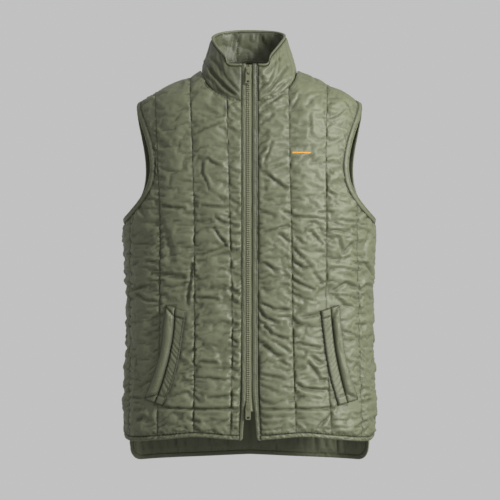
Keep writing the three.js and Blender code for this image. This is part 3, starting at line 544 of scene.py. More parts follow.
@dataclass(frozen=True)
class ClothSettling:
    """How quilted cloth finds its folds: cut too large, held at the sewing and pressed out from inside."""

    extra: float = 0.034
    pressure: float = 1.3
    tension: float = 12.0
    shear: float = 6.0
    bending: float = 0.05
    frames: int = 20
    cap: float = 7.0

    def settle(self, start: Array, outward: Array, held: Array) -> Array:
        """Runs the cloth from a grid of points and reads back where it comes to rest.

        Args:
            start: rows by columns by 3, in millimetres.
            outward: the outward direction at each point.
            held: where the cloth is sewn down.

        Returns:
            The settled points, each no farther from its start than the cap.
        """
        rows, columns = held.shape
        ids = np.arange(rows * columns).reshape(rows, columns)
        quads = np.stack([ids[:-1, :-1], ids[:-1, 1:], ids[1:, 1:], ids[1:, :-1]], axis=-1)
        even = (np.add.outer(np.arange(rows - 1), np.arange(columns - 1)) % 2 == 0)[..., None]
        quads = np.where(even, quads, np.roll(quads, 1, axis=-1)).reshape(-1, 4)
        tris = np.concatenate([quads[:, [0, 1, 2]], quads[:, [0, 2, 3]]])
        flat = start.reshape(-1, 3)
        facing = np.cross(flat[tris[:, 1]] - flat[tris[:, 0]], flat[tris[:, 2]] - flat[tris[:, 0]])
        if np.sum(facing * outward.reshape(-1, 3)[tris[:, 0]]) < 0:
            tris = tris[:, ::-1]
        piece = write_mesh("settling", flat, tris)
        group = piece.vertex_groups.new(name="sewn")
        group.add([int(i) for i in ids[held]], 1.0, "REPLACE")
        modifier = piece.modifiers.new("cloth", "CLOTH")
        cloth = modifier.settings
        cloth.quality, cloth.mass = 4, 0.15
        cloth.tension_stiffness = cloth.compression_stiffness = self.tension
        cloth.shear_stiffness, cloth.bending_stiffness = self.shear, self.bending
        cloth.tension_damping = cloth.compression_damping = 8.0
        cloth.vertex_group_mass = "sewn"
        cloth.use_pressure, cloth.uniform_pressure_force = True, self.pressure
        cloth.shrink_min = -self.extra
        cloth.effector_weights.gravity = 0
        modifier.collision_settings.use_collision = False
        scene = bpy.context.scene
        for step in range(1, self.frames + 1):
            scene.frame_set(step)
        settled = np.empty(rows * columns * 3, np.float32)
        piece.evaluated_get(bpy.context.evaluated_depsgraph_get()).data.vertices.foreach_get("co", settled)
        bpy.data.objects.remove(piece)
        scene.frame_set(1)
        moved = settled.reshape(start.shape) * 1000.0 - start
        far = np.linalg.norm(moved, axis=-1, keepdims=True)
        return start + moved * np.minimum(1, self.cap / np.maximum(far, 1e-6))


@dataclass(frozen=True)
class PocketPlan:
    """Where a pocket lies: distance from the centre of its inner edge, opening and outer edge."""

    z: tuple[float, ...]
    inner: tuple[float, ...]
    middle: tuple[float, ...]
    outer: tuple[float, ...]
    base: float = 3.4
    clear: float = 0.7
    drop_per_width: float = 10.0

    def place(self, down: Array, out: Array) -> Pair:
        """Distance from the centre, and height, of a point.

        Args:
            down: share of the way from the top to the foot.
            out: share of the way from the inner edge to the outer one.

        Returns:
            The distance from the centre, and the height.
        """
        z = mix(self.z[0], self.z[-1], down)
        x = mix(Curve(self.z, self.inner)(z), Curve(self.z, self.outer)(z), out)
        return x, z - self.drop_per_width * (0.5 - out)

    def middle_share(self, down: Array) -> Array:
        """Share of the width at which the opening lies.

        Args:
            down: share of the way down.

        Returns:
            The share.
        """
        z = mix(self.z[0], self.z[-1], down)
        low, high = Curve(self.z, self.inner)(z), Curve(self.z, self.outer)(z)
        return (Curve(self.z, self.middle)(z) - low) / (high - low)

    def cover(self, x: Array, z: Array, near: float = 9.0, far: float = 25.0) -> Array:
        """How far the pocket holds the panel flat at a point, from 0 to 1.

        Args:
            x: signed distance from the centre.
            z: height.
            near: how far out the hold starts to fade.
            far: how far out it ends.

        Returns:
            The share.
        """
        reach = np.abs(x)
        inside = np.minimum(reach - Curve(self.z, self.inner)(z), Curve(self.z, self.outer)(z) - reach)
        drop = self.drop_per_width
        within = np.minimum(self.z[0] + drop - z, z - self.z[-1] + drop)
        return smooth(-far, -near, inside) * smooth(-far, -near, within)

    def rim(self, x: Array, z: Array) -> Array:
        """How much painted shadow the pocket casts on a point of the panel close beside its long edges, from
        0 to 1.

        Args:
            x: signed distance from the centre.
            z: height.

        Returns:
            The share.
        """
        reach = np.abs(x)
        beyond, before = reach - Curve(self.z, self.outer)(z), Curve(self.z, self.inner)(z) - reach
        shift = np.where(beyond > before, 0.5, -0.5) * self.drop_per_width
        within = (z < self.z[0] + shift) & (z > self.z[-1] + shift)
        away = np.maximum(0, np.maximum(beyond, before))
        return bump(away, np.where(beyond > before, 3.4, 4.8)) * within


RIGHT_POCKET = PocketPlan(
    (-419, -458, -497, -538, -583), (107, 113.5, 119, 129, 147.5), (126, 128.5, 134.5, 145, 160),
    (140.5, 145.5, 150, 161, 178),
)
LEFT_POCKET = PocketPlan(
    (-419, -458, -497, -538, -583), (120, 124.5, 129.5, 137.5, 150), (137.5, 141, 146, 154.5, 166.5),
    (151.5, 155.5, 160.5, 169.5, 184.5),
)


@dataclass(frozen=True)
class SatinBar:
    """A plain bar of satin stitch on the chest: its middle, its size and the lift of the cloth under it."""

    x: float = 88.0
    z: float = -154.0
    wide: float = 30.0
    tall: float = 3.4
    lift: float = 4.6

    def cover(self, x: Array, z: Array) -> Array:
        """How far the bar holds the cloth flat at a point, from 0 to 1.

        Args:
            x: signed distance from the centre.
            z: height.

        Returns:
            The share.
        """
        across = np.abs(x - self.x) - self.wide / 2
        up = np.abs(z - self.z) - self.tall / 2
        return (1 - smooth(0.5, 8, across)) * (1 - smooth(0.5, 7, up))

    def run(self) -> Pair:
        """The line along the bar's middle.

        Returns:
            The points, and a unit vector for each.
        """
        x = np.linspace(self.x - self.wide / 2, self.x + self.wide / 2, 40)
        z = np.full(40, self.z)
        angle = angle_signed(x, z)
        return BODY.lifted(-1, angle, z, 0 * z + self.lift + 0.1), BODY.normal(-1, BODY.point(-1, angle, z))


CHEST_BAR = SatinBar()


@dataclass(frozen=True)
class Crease:
    """A sharp fold in the cloth, as x and height: a valley with a ridge along one side of it."""

    path: tuple[tuple[float, float], ...]
    depth: float
    width: float

    def height(self, x: Array, z: Array) -> Array:
        """What the crease adds to the lift of the cloth.

        Args:
            x: signed distance from the centre of each point.
            z: height of each point.

        Returns:
            The added lift, below 0 in the valley.
        """
        best = np.full(np.shape(x), 1e9)
        side = np.zeros(np.shape(x))
        for (ax, az), (bx, bz) in zip(self.path[:-1], self.path[1:]):
            dx, dz = bx - ax, bz - az
            length = math.hypot(dx, dz)
            share = np.clip(((x - ax) * dx + (z - az) * dz) / length**2, 0, 1)
            away = np.hypot(x - ax - share * dx, z - az - share * dz)
            across = ((x - ax) * dz - (z - az) * dx) / length
            side = np.where(away < best, across, side)
            best = np.minimum(best, away)
        (sx, sz), (ex, ez) = self.path[0], self.path[-1]
        ends = np.minimum(np.hypot(x - sx, z - sz), np.hypot(x - ex, z - ez))
        full = 0.35 + 0.65 * smooth(0, 9, ends)
        valley = bump(best, self.width)
        upper = bump(best - 2.1 * self.width, 1.5 * self.width) * (side < 0)
        lower = 0.45 * bump(best - 2.0 * self.width, 1.3 * self.width) * (side >= 0)
        return self.depth * full * (-valley + 0.62 * upper + 0.62 * lower)


class HalfPanel:
    """One half of a quilted panel, from the centre to the side seam, as a grid of places on the body."""

    # Millimetres: the columns nearest a line, the armhole's ring, and the lifts of the outer side.
    fine_edges = (0.0, 0.9, 2.1, 4.0)
    ring_length = 285.0
    foam_height = 4.3
    least_lift = 1.15
    stitched_lift = 1.6
    soft_limit = 6.2

    def __init__(
        self,
        face: Face,
        lines: Sequence[Sequence[float]],
        spacing: float,
        seed: int,
        pocket: PocketPlan | None = None,
        mirror: int = 1,
        creases: Sequence[Crease] = (),
    ) -> None:
        """Lays out the grid.

        Args:
            face: front or back.
            lines: each quilting line's distance from the centre at the five levels.
            spacing: greatest distance between the grid's points.
            seed: chooses the folds.
            pocket: the pocket on this half, if it has one.
            mirror: -1 on the wearer's right.
            creases: the folds listed, at signed x.
        """
        self.sign = face.value
        self.curves = [Curve(LEVELS, row) for row in lines]
        self.vent = FRONT_VENT if face is Face.FRONT else BACK_VENT
        self.seed, self.pocket, self.mirror, self.creases = seed, pocket, mirror, creases
        self.bar = CHEST_BAR if face is Face.FRONT and mirror > 0 else None
        self.settling = ClothSettling()
        self.last_full = len(lines) - 2
        self._lay_columns(spacing)
        self._lay_rows(spacing)
        points = self.body_points()
        ring = points[self.lower_rows - 1 :, -1]
        self.border = np.concatenate([points[0], points[-1], ring])
        self.ring = ring

    def line_angle(self, k: int, z: Array) -> Array:
        """Angle of a quilting line at a height."""
        return angle_signed(self.curves[k](z), z)

    def side_angle(self, z: Array) -> Array:
        """Angle of the side edge at a height, beside the band where there is one."""
        depth = self.vent.side_depth(z, HEM_BAND + SEAM_GAP)
        return BODY.angle_at_depth(depth, z, self.sign)

    def _lay_columns(self, spacing: float) -> None:
        """Chooses the columns, each as a channel and a share across it.

        Args:
            spacing: greatest distance between points.
        """
        channels, shares = [], []
        z = -300.0
        for k in range(len(self.curves)):
            low = BODY.point(self.sign, self.line_angle(k, z), z)
            high_angle = self.side_angle(z) if k == len(self.curves) - 1 else self.line_angle(k + 1, z)
            width = float(np.linalg.norm(BODY.point(self.sign, high_angle, z) - low))
            steps = max(2, math.ceil((width - 8) / spacing))
            near = list(self.fine_edges[:-1])
            inner = list(np.linspace(4, width - 4, steps + 1))
            far = [width - d for d in reversed(near[1:])]
            mine = np.array(near + inner + far) / width
            if k == 0 and self.curves[0](z) < 0:
                mine = np.concatenate([[0.5], mine[mine > 0.5 + 0.4 * spacing / width]])
            if k == 1:
                a, b = float(self.curves[1](NECK_SIDE_Z)), float(self.curves[2](NECK_SIDE_Z))
                neck = (NECK_HALF - a) / (b - a)
                mine[np.argmin(np.abs(mine - neck))] = neck
            channels += [k] * len(mine)
            shares += list(mine)
        self.channel = np.array(channels + [len(self.curves) - 1])
        self.share = np.array(shares + [1.0])

    def _angle_in(self, z: Array) -> Array:
        """Angle of every column at its own height.

        Args:
            z: a height for each column.

        Returns:
            The angles.
        """
        out = np.empty_like(z)
        last = len(self.curves) - 1
        for k in range(last + 1):
            mine = self.channel == k
            heights = z[..., mine]
            high = self.side_angle(heights) if k == last else self.line_angle(k + 1, heights)
            out[..., mine] = mix(self.line_angle(k, heights), high, self.share[mine])
        return out

    def _full_column(self, k: int, share: float, shares: Array, like: Array | None = None) -> Pair:
        """Angles and heights of a column that reaches the neckline or the shoulder seam.

        Args:
            k: the channel.
            share: share of the way across it.
            shares: the rows, as shares of the way up.
            like: heights of a finished column to keep to, apart from its top.

        Returns:
            The angles and the heights of all rows but the first.
        """

        def x_of(z: Array) -> Array:
            """Distance of the column from the centre."""
            return mix(self.curves[k](z), self.curves[k + 1](z), share)

        top = -40.0
        for _ in range(30):
            top = mix(top, float(BODY.top_edge(self.sign, float(x_of(top)))), 0.6)
        on_shoulder = float(x_of(top)) > NECK_HALF - 0.01
        high = top if on_shoulder else top - SEAM_GAP
        if like is None:
            left = 1 - np.linspace(0, 1, 241)
            samples = high - (high - self.split) * left**3
            done = length_shares(BODY.point(self.sign, angle_signed(x_of(samples), samples), samples))
            upper = np.interp(shares[1:], done, samples)
        else:
            upper = like + (high - like[-1]) * shares[1:] ** 4
        angles = angle_signed(x_of(upper), upper)
        if on_shoulder:
            angles[-1] = BODY.angle_at_depth(SEAM_GAP / 2, high, self.sign)
        return angles, upper

    def _lay_rows(self, spacing: float) -> None:
        """Works out the angle and the height of every point of the grid.

        Args:
            spacing: greatest distance between points.
        """
        inset = HEM_BAND + SEAM_GAP
        self.split = UNDERARM_Z - ARMHOLE_BAND - SEAM_GAP
        foot = np.full(len(self.channel), float(self.vent.foot(0)) + HEM_BAND)
        for _ in range(40):
            at = BODY.point(self.sign, self._angle_in(foot), foot)
            foot = mix(foot, self.vent.lower_edge(at[:, 0], np.abs(at[:, 1]), inset), 0.5)
        tall = self.split - foot.min()
        near = np.array([0, 0.9, 2.2]) / tall
        stations = np.concatenate([near, np.linspace(4 / tall, 1, math.ceil(tall / spacing))])
        lower_z = foot + (self.split - foot) * stations[:, None]
        lower_angle = self._angle_in(lower_z)
        turns = np.linspace(math.pi, 0, 400)
        ring_angle, ring_z = ARMHOLE.away(self.sign, turns, ARMHOLE_BAND + SEAM_GAP)
        ring_angle[-1] = BODY.angle_at_depth(SEAM_GAP / 2, ring_z[-1], self.sign)
        done = length_shares(BODY.point(self.sign, ring_angle, ring_z))
        count = math.ceil(self.ring_length / spacing)
        end = np.array([2.2, 0.9]) / self.ring_length
        shares = np.concatenate([np.linspace(0, 1 - 4 / self.ring_length, count), 1 - end, [1.0]])
        ring_angle, ring_z = np.interp(shares, done, ring_angle), np.interp(shares, done, ring_z)
        anchor = self._full_column(self.last_full, 0.0, shares)
        upper_angle = np.empty((len(shares) - 1, len(self.channel)))
        upper_z = np.empty_like(upper_angle)
        side = float(self.side_angle(self.split))
        start = float(self.line_angle(self.last_full, self.split))
        for c, (k, share) in enumerate(zip(self.channel, self.share)):
            if k < self.last_full:
                upper_angle[:, c], upper_z[:, c] = self._full_column(k, share, shares, anchor[1])
            else:
                weight = (lower_angle[-1, c] - start) / (side - start)
                upper_angle[:, c] = mix(anchor[0], ring_angle[1:], weight)
                upper_z[:, c] = mix(anchor[1], ring_z[1:], weight)
        self.angle = np.concatenate([lower_angle, upper_angle])
        self.z = np.concatenate([lower_z, upper_z])
        self.lower_rows = len(lower_z)

    def body_points(self) -> Array:
        """The grid's points on the body form."""
        return BODY.point(self.sign, self.angle, self.z)

    def border_distance(self, points: Array) -> Array:
        """Distance of each point from the panel's foot, top and armhole edge.

        Args:
            points: the points.

        Returns:
            The distances.
        """
        flat = points.reshape(-1, 3)
        best = np.full(len(flat), 1e9)
        for part in np.array_split(self.border[::2], 12):
            gap = np.linalg.norm(flat[:, None, :] - part[None, :, :], axis=-1).min(axis=1)
            best = np.minimum(best, gap)
        return best.reshape(points.shape[:-1])

    def across(self, angle: Array, z: Array) -> tuple[Array, Array, Array, Array]:
        """Where points lie among the quilting lines.

        Args:
            angle: angle round the section.
            z: height.

        Returns:
            The channel's number, its width, and the distances to its inner and outer line.
        """
        marks = [self.line_angle(k, z) for k in range(len(self.curves))] + [np.full_like(z, SQUARE)]
        channel = np.zeros(np.shape(z), int)
        for k in range(1, len(marks) - 1):
            channel = np.where(angle > marks[k] + 1e-9, k, channel)
        low = np.choose(channel, marks[:-1])
        high = np.choose(channel, marks[1:])
        share = np.clip((angle - low) / (high - low), 0, 1)
        width = np.linalg.norm(BODY.point(self.sign, high, z) - BODY.point(self.sign, low, z), axis=-1)
        return channel, width, share * width, (1 - share) * width

    def filling(self, angle: Array, z: Array) -> Pair:
        """The lift of the outer side, and how dark each point is painted for sewing and as painted shade.

        Args:
            angle: angle round the section.
            z: height.

        Returns:
            The lift in millimetres, and a darkening that is 1 on sewing, 0 away from it, and raised by
            painted shade in creases and beside the pocket.
        """
        points = BODY.point(self.sign, angle, z)
        x = points[..., 0] * self.mirror
        edge = self.border_distance(points)
        channel, width, inner, outer = self.across(angle, z)
        nearest = np.minimum(inner, outer)
        taper = 1 - (1 - np.clip(edge / 13, 0, 1)) ** 3
        share = inner / width
        crown = 1 - np.abs(2 * share - 1) ** 3.0
        uneven = 0.82 + 0.42 * noise(z / 34 + 9 * channel, channel * 3.7, self.seed)
        height = self.foam_height * np.minimum(1, width / 50) * crown * uneven * taper
        if self.settling:
            height = 0.5 * height
        height = height + self._puckers(x, z, channel, inner, outer, edge)
        height = height + self._folds(x, z, points) * np.minimum(1, nearest / 7) * taper
        drawn = self._drawn(x, z)
        height = height + drawn * (0.35 + 0.65 * np.minimum(1, nearest / 5)) * np.minimum(1, edge / 6)
        lift = np.maximum(self.stitched_lift + height, self.least_lift)
        lift = np.where(lift > self.soft_limit, (lift + self.soft_limit) * 0.5, lift)
        if self.pocket:
            held = self.pocket.cover(points[..., 0], z, 1.0, 12.0)
            lift = mix(lift, self.pocket.base + 0.1 * height, held)
        if self.bar:
            lift = mix(lift, self.bar.lift, self.bar.cover(x, z))
        # Darker along the sewing and the edges, with painted shade in the valleys of the listed creases and a
        # painted shadow beside the pocket's long edges.
        seam = np.maximum(bump(nearest, 1.3), bump(edge, 2.0))
        seam = np.maximum(seam, np.clip(-drawn - 0.5, 0, 1.2) * 0.6)
        if self.pocket:
            seam = np.maximum(seam, 0.9 * self.pocket.rim(points[..., 0], z))
        return lift, seam

    @staticmethod
    def _round(x: Array, depth: Array) -> Array:
        """Distance round the body, near enough, which follows the cloth on to the side."""
        return np.where(np.abs(depth) > 60, x, x * 0.6 + depth * 0.8)

    def _puckers(self, x: Array, z: Array, channel: Array, inner: Array, outer: Array, edge: Array) -> Array:
        """Short wrinkles that run off the stitching.

        Args:
            x: signed distance from the centre.
            z: height.
            channel: the channel's number.
            inner: distance to its inner line.
            outer: distance to its outer line.
            edge: distance to the panel's edge.

        Returns:
            The added lift.
        """
        total = np.zeros_like(z)
        for line, gap, side in ((channel, inner, 1.0), (channel + 1, outer, -1.0)):
            slope = 0.75 * (noise(z / 70 + 5.1 * line, line * 2.3, self.seed + 5) - 0.5) * 2
            along = z + slope * gap * side
            fine = ridged(along / 8.5 + 13.7 * line, gap / 40 + 3 * line, self.seed + 11)
            wide = ridged(along / 17 + 5.3 * line, gap / 60 + 7 * line, self.seed + 12)
            reach = (1 - np.exp(-gap / 1.8)) * np.exp(-gap / 11)
            broad = (1 - np.exp(-gap / 4)) * np.exp(-gap / 20)
            total = total + 2.5 * reach * fine + 1.5 * broad * wide
        rim = (1 - np.exp(-edge / 1.8)) * np.exp(-edge / 8)
        run = x / 7.0 + z / 8.0
        narrow = bump(inner + outer, 34)
        between = np.minimum(1, np.minimum(inner, outer) / 3)
        strip = ridged((z + 0.5 * inner) / 14, inner / 60, self.seed + 14) * between
        return total + 1.6 * rim * ridged(run, edge / 30, self.seed + 13) + 2.6 * narrow * strip

    def _folds(self, x: Array, z: Array, points: Array) -> Array:
        """Longer folds and dents of the worn cloth.

        Args:
            x: signed distance from the centre.
            z: height.
            points: the points.

        Returns:
            The added lift.
        """
        run = self._round(x, points[..., 1])
        upper = smooth(-230, -120, z)
        total = np.zeros_like(z)
        for turn, weight, seed in ((0.5, upper, 21), (-0.42, 1 - upper, 22), (0.06, 0.7 + 0 * z, 23)):
            turn = turn if self.mirror > 0 else -turn * 0.8
            along = run * math.cos(turn) + z * math.sin(turn)
            across = -run * math.sin(turn) + z * math.cos(turn)
            here = 0.35 + 0.65 * smooth(0.35, 0.65, noise(run / 60, z / 60, self.seed + seed + 40))
            total = total + 1.6 * weight * here * ridged(along / 42, across / 13, self.seed + seed)
            total = total + 0.7 * weight * ridged(along / 22, across / 6.5, self.seed + seed + 60)
        dents = 1.5 * (noise(run / 38, z / 30, self.seed + 31) - 0.5)
        return total + dents

    def _drawn(self, x: Array, z: Array) -> Array:
        """The lift that the listed folds add."""
        drawn = sum((crease.height(x, z) for crease in self.creases), np.zeros_like(z))
        return np.clip(drawn, -3.2, 2.4)

    def _crush(self, lift: Array) -> Array:
        """The settled cloth with its sharpest folds, which its grid is too coarse to keep.

        Args:
            lift: the settled lift.

        Returns:
            The new lift.
        """
        base = self.body_points()
        channel, _, inner, outer = self.across(self.angle, self.z)
        edge = self.border_distance(base)
        nearest = np.minimum(inner, outer)
        soft = np.minimum(1, nearest / 2) * np.minimum(1, edge / 3)
        if self.pocket:
            soft = soft * (1 - self.pocket.cover(base[..., 0], self.z, -1.0, 9.0))
        if self.bar:
            soft = soft * (1 - self.bar.cover(base[..., 0], self.z))
        x, z = base[..., 0] * self.mirror, self.z
        run = self._round(x, base[..., 1]) + 11 * channel
        lean = 0.35 * self.mirror * smooth(-260, -100, z)
        lean = lean + 0.12 * (noise(z / 80, run / 80, self.seed + 80) - 0.5)
        across, up = run + lean * z, z - lean * run
        wide = 0.5 - crushed(across / 52, up / 17, self.seed + 81)
        patches = smooth(0.4, 0.7, noise(run / 30, z / 26, self.seed + 86))
        streak = ridged(across / 46, up / 7.5, self.seed + 84) * patches
        puckers = self._puckers(x, z, channel, inner, outer, edge)
        sharp = 1.5 * wide + 2.6 * streak + 1.1 * puckers + 0.6 * self._drawn(x, z)
        return lift + soft * sharp * mix(1.5, 0.7, smooth(-340, -130, z))

    def lining(self, angle: Array, z: Array) -> Array:
        """The lift of the inner side, with soft gathers that run down it.

        Args:
            angle: angle round the section.
            z: height.

        Returns:
            The lift, below 0 inwards.
        """
        _, _, inner, outer = self.across(angle, z)
        nearest = np.minimum(inner, outer)
        points = BODY.point(self.sign, angle, z)
        edge = np.minimum(1, self.border_distance(points) / 8)
        run = points[..., 0] * self.mirror
        gather = ridged((run + 0.15 * z) / 15, z / 60, self.seed + 71)
        gather = gather + 0.5 * ridged(run / 7, z / 30, self.seed + 72)
        soft = np.minimum(1, nearest / 7)
        if self.sign > 0:
            soft = soft * np.minimum(1, np.abs(run) / 6)
        return edge * (-2.2 * soft - 2.8 * gather * (0.4 + 0.6 * soft))

    def grids(self) -> tuple[Array, Array, Array, Array]:
        """The panel's two sides.

        Returns:
            The inner and the outer grid, and how dark the outer and the inner one are painted: for sewing,
            and as painted shade in their hollows.
        """
        lift, seam = self.filling(self.angle, self.z)
        outer = BODY.lifted(self.sign, self.angle, self.z, lift)
        if self.settling:
            outer = self._settled(outer)
        base = self.body_points()
        outward = BODY.normal(self.sign, base)
        height = np.sum((outer - base) * outward, axis=-1)
        wanted = self._crush(height)
        least, most = 1.0, 8.5
        wanted = np.where(wanted < least + 0.8, least + 0.8 * np.exp((wanted - least - 0.8) / 0.8), wanted)
        wanted = np.where(wanted > most - 1.5, most - 1.5 * np.exp((most - 1.5 - wanted) / 1.5), wanted)
        outer = outer + outward * (wanted - height)[..., None]
        # Painted shade in the hollows of the settled cloth, and below in the gathers of the lining.
        seam = np.maximum(seam, 0.85 * hollows(wanted, 3, 1.1))
        lining = self.lining(self.angle, self.z)
        inner = BODY.lifted(self.sign, self.angle, self.z, lining)
        flip = np.array([self.mirror, 1, 1])
        return inner * flip, outer * flip, seam, 0.9 * hollows(-lining, 3, 1.0)

    def _settled(self, outer: Array) -> Array:
        """The outer grid after the cloth has settled.

        Args:
            outer: the grid before it settles.

        Returns:
            The settled grid.
        """
        base = self.body_points()
        outward = BODY.normal(self.sign, base)
        _, _, inner_gap, outer_gap = self.across(self.angle, self.z)
        held = (np.minimum(inner_gap, outer_gap) < 0.5) | (self.border_distance(base) < 0.8)
        if self.pocket:
            held |= self.pocket.cover(base[..., 0], self.z, -1.0, 8.0) > 0.9
        if self.bar:
            held |= self.bar.cover(base[..., 0], self.z) > 0.9
        return self.settling.settle(outer, outward, held)

    def run(self, k: int, above: float = 0.2) -> Pair:
        """The points and outward directions of a quilting line.

        Args:
            k: the line's number, from the centre.
            above: how far the line lies over the cloth.

        Returns:
            The points in millimetres, and a unit vector for each.
        """
        column = int(np.argmax((self.channel == k) & (self.share == 0)))
        if k > self.last_full:
            z = np.arange(self.z[0, column] + 1, -180.0, 2.0)
        else:
            z = np.linspace(self.z[0, column] + 1, self.z[-1, column] - 1, 320)
        angle = self.line_angle(k, z)
        base = BODY.point(self.sign, angle, z)
        if k > self.last_full:
            gap = np.linalg.norm(base[:, None] - self.ring[None], axis=-1).min(axis=1)
            stop = np.argmax((gap < 2.2) & (z > self.split))
            z, angle, base = z[:stop], angle[:stop], base[:stop]
        lift, _ = self.filling(angle, z)
        flip = np.array([self.mirror, 1, 1])
        points = BODY.lifted(self.sign, angle, z, lift + above) * flip
        return points, BODY.normal(self.sign, base) * flip


def crease_set(*paths: tuple[float, ...], depth: float = 1.6, width: float = 2.6) -> tuple[Crease, ...]:
    """Creases of one depth and width, each path as x, height, x, height and so on."""
    return tuple(Crease(tuple(zip(path[::2], path[1::2])), depth, width) for path in paths)


# Folds that stay in the cloth from wear, on each front.
RIGHT_CREASES = (
    *crease_set(
        (-93, -122, -47, -101), (-97, -176, -86, -163), (-73, -166, -50, -178), (-146, -245, -112, -250),
        (-114, -257, -97, -257), (-57, -264, -50, -272, -35, -277), (-61, -284, -40, -311),
        (-35, -310, -54, -318, -85, -329), (-107, -354, -97, -346), (-85, -402, -56, -404),
        (-198, -347, -187, -341), (-174, -339, -156, -342), (-198, -390, -179, -382),
        (-192, -397, -174, -407, -151, -409), (-109, -498, -95, -491), (-86, -512, -59, -513),
        (-102, -537, -32, -541), (-136, -571, -95, -561), (-69, -573, -30, -568), (-203, -576, -179, -576),
        (-105, -609, -86, -614), (-194, -619, -179, -607),
    ),
    *crease_set((-80, -166, -81, -187, -68, -217, -40, -238), depth=0.9),
    *crease_set((-80, -245, -35, -248), depth=1.9),
    *crease_set((-97, -346, -102, -380, -107, -419), depth=2.4),
    *crease_set((-139, -291, -133, -334), depth=0.8, width=6.0),
    *crease_set((-158, -590, -93, -592, -32, -590), depth=3.2, width=2.2),
    *crease_set(*((-33, start, -18, end) for start, end in (
        (-67, -84), (-86, -96), (-111, -128), (-183, -188), (-212, -217), (-234, -243), (-248, -258),
        (-276, -282), (-305, -310), (-358, -366), (-407, -412), (-470, -481), (-496, -505), (-508, -513),
        (-523, -530), (-539, -546), (-566, -571), (-592, -597),
    )), depth=1.5),
    *crease_set((-33, -388, -18, -395), depth=2.2),
)
LEFT_CREASES = (
    *crease_set((15, -84, 59, -50), depth=2.2),
    *crease_set(
        (15, -89, 37, -74), (15, -108, 38, -91), (15, -130, 30, -120), (15, -158, 38, -137),
        (25, -171, 38, -139), (33, -195, 62, -216), (38, -181, 61, -171), (68, -84, 85, -58),
        (97, -75, 107, -62), (133, -183, 144, -193), (131, -217, 144, -228), (155, -270, 179, -270),
        (20, -255, 42, -262), (54, -252, 66, -258), (25, -289, 66, -279), (50, -293, 66, -305),
        (73, -293, 93, -310), (103, -289, 121, -308), (133, -286, 167, -288),
        (150, -299, 160, -325, 175, -308), (74, -317, 105, -349), (74, -339, 91, -351, 107, -347),
        (25, -342, 45, -356), (105, -354, 122, -376), (73, -371, 107, -388),
        (144, -390, 162, -376, 182, -385), (184, -341, 199, -344, 209, -363),
        (184, -394, 199, -380, 209, -383), (18, -409, 42, -421, 69, -423),
        (148, -402, 158, -412, 172, -419), (86, -436, 117, -431), (40, -476, 69, -494),
        (50, -510, 66, -518), (15, -532, 56, -539), (56, -554, 74, -558), (80, -479, 122, -489),
        (103, -501, 124, -515), (98, -512, 112, -529, 121, -542, 131, -544), (153, -457, 184, -469),
        (160, -510, 172, -515), (172, -549, 186, -553), (143, -576, 163, -575), (189, -583, 209, -582),
        (115, -624, 138, -602),
    ),
    *crease_set((28, -183, 27, -234), depth=0.7, width=6.0),
    *crease_set((102, -87, 103, -127), depth=0.6),
    *crease_set((105, -140, 105, -166), depth=0.5),
    *crease_set((74, -262, 131, -267), depth=1.1, width=1.8),
    *crease_set((15, -419, 25, -435, 47, -445), (21, -445, 38, -464, 62, -472), depth=2.0),
    *crease_set((18, -479, 54, -506), depth=2.2, width=4.0),
    *crease_set((81, -549, 91, -556, 133, -561), depth=2.4),
    *crease_set((18, -592, 78, -592, 143, -592), depth=3.2, width=2.2),
)


# The same on the side of the collar that faces forward.
COLLAR_CREASES = (
    *crease_set((-72, 4, -60, -16, -42, -39, -20, -58), depth=3.0, width=2.4),
    *crease_set((-66, -10, -51, -32, -28, -54), depth=2.4, width=2.4),
    *crease_set(
        (-34, -32, -18, -51), (-61, 11, -47, -10), (-30, -10, -20, -25), (-75, -16, -63, -34),
        (-53, -47, -28, -61), (15, -15, 22, -27, 20, -39), (15, -47, 25, -35), (15, -37, 37, -34),
        (15, -27, 25, -25), (16, -65, 30, -58, 58, -37), (28, -16, 44, 3, 54, 15), (41, -44, 70, -27),
        (58, 8, 66, -10),
        depth=1.7, width=2.4,
    ),
    *crease_set((16, -56, 32, -47, 49, -25, 65, -4), depth=2.2, width=2.4),
)


def to_linear(hex_code: str) -> tuple[float, float, float, float]:
    """An sRGB hex colour, as #rrggbb, in linear values with full alpha."""
    parts = [int(hex_code[i : i + 2], 16) / 255 for i in (1, 3, 5)]
    return (*(c / 12.92 if c <= 0.04045 else ((c + 0.055) / 1.055) ** 2.4 for c in parts), 1.0)


def add_node(
    tree: bpy.types.NodeTree, kind: str, inputs: dict[str | int, object] | None = None, **settings: object
) -> bpy.types.Node:
    """Adds a node with its settings, values and links.

    Args:
        tree: the node tree that takes it.
        kind: the node's type.
        inputs: a value or a linked socket for each input.
        settings: the node's own properties.

    Returns:
        The new node.
    """
    node = tree.nodes.new(kind)
    for key, value in settings.items():
        setattr(node, key, value)
    for key, value in (inputs or {}).items():
        if isinstance(value, bpy.types.NodeSocket):
            tree.links.new(value, node.inputs[key])
        else:
            node.inputs[key].default_value = value
    return node


def per_metre(size_mm: float) -> float:
    """The scale of a pattern whose feature is a size in millimetres."""
    return 1000.0 / size_mm


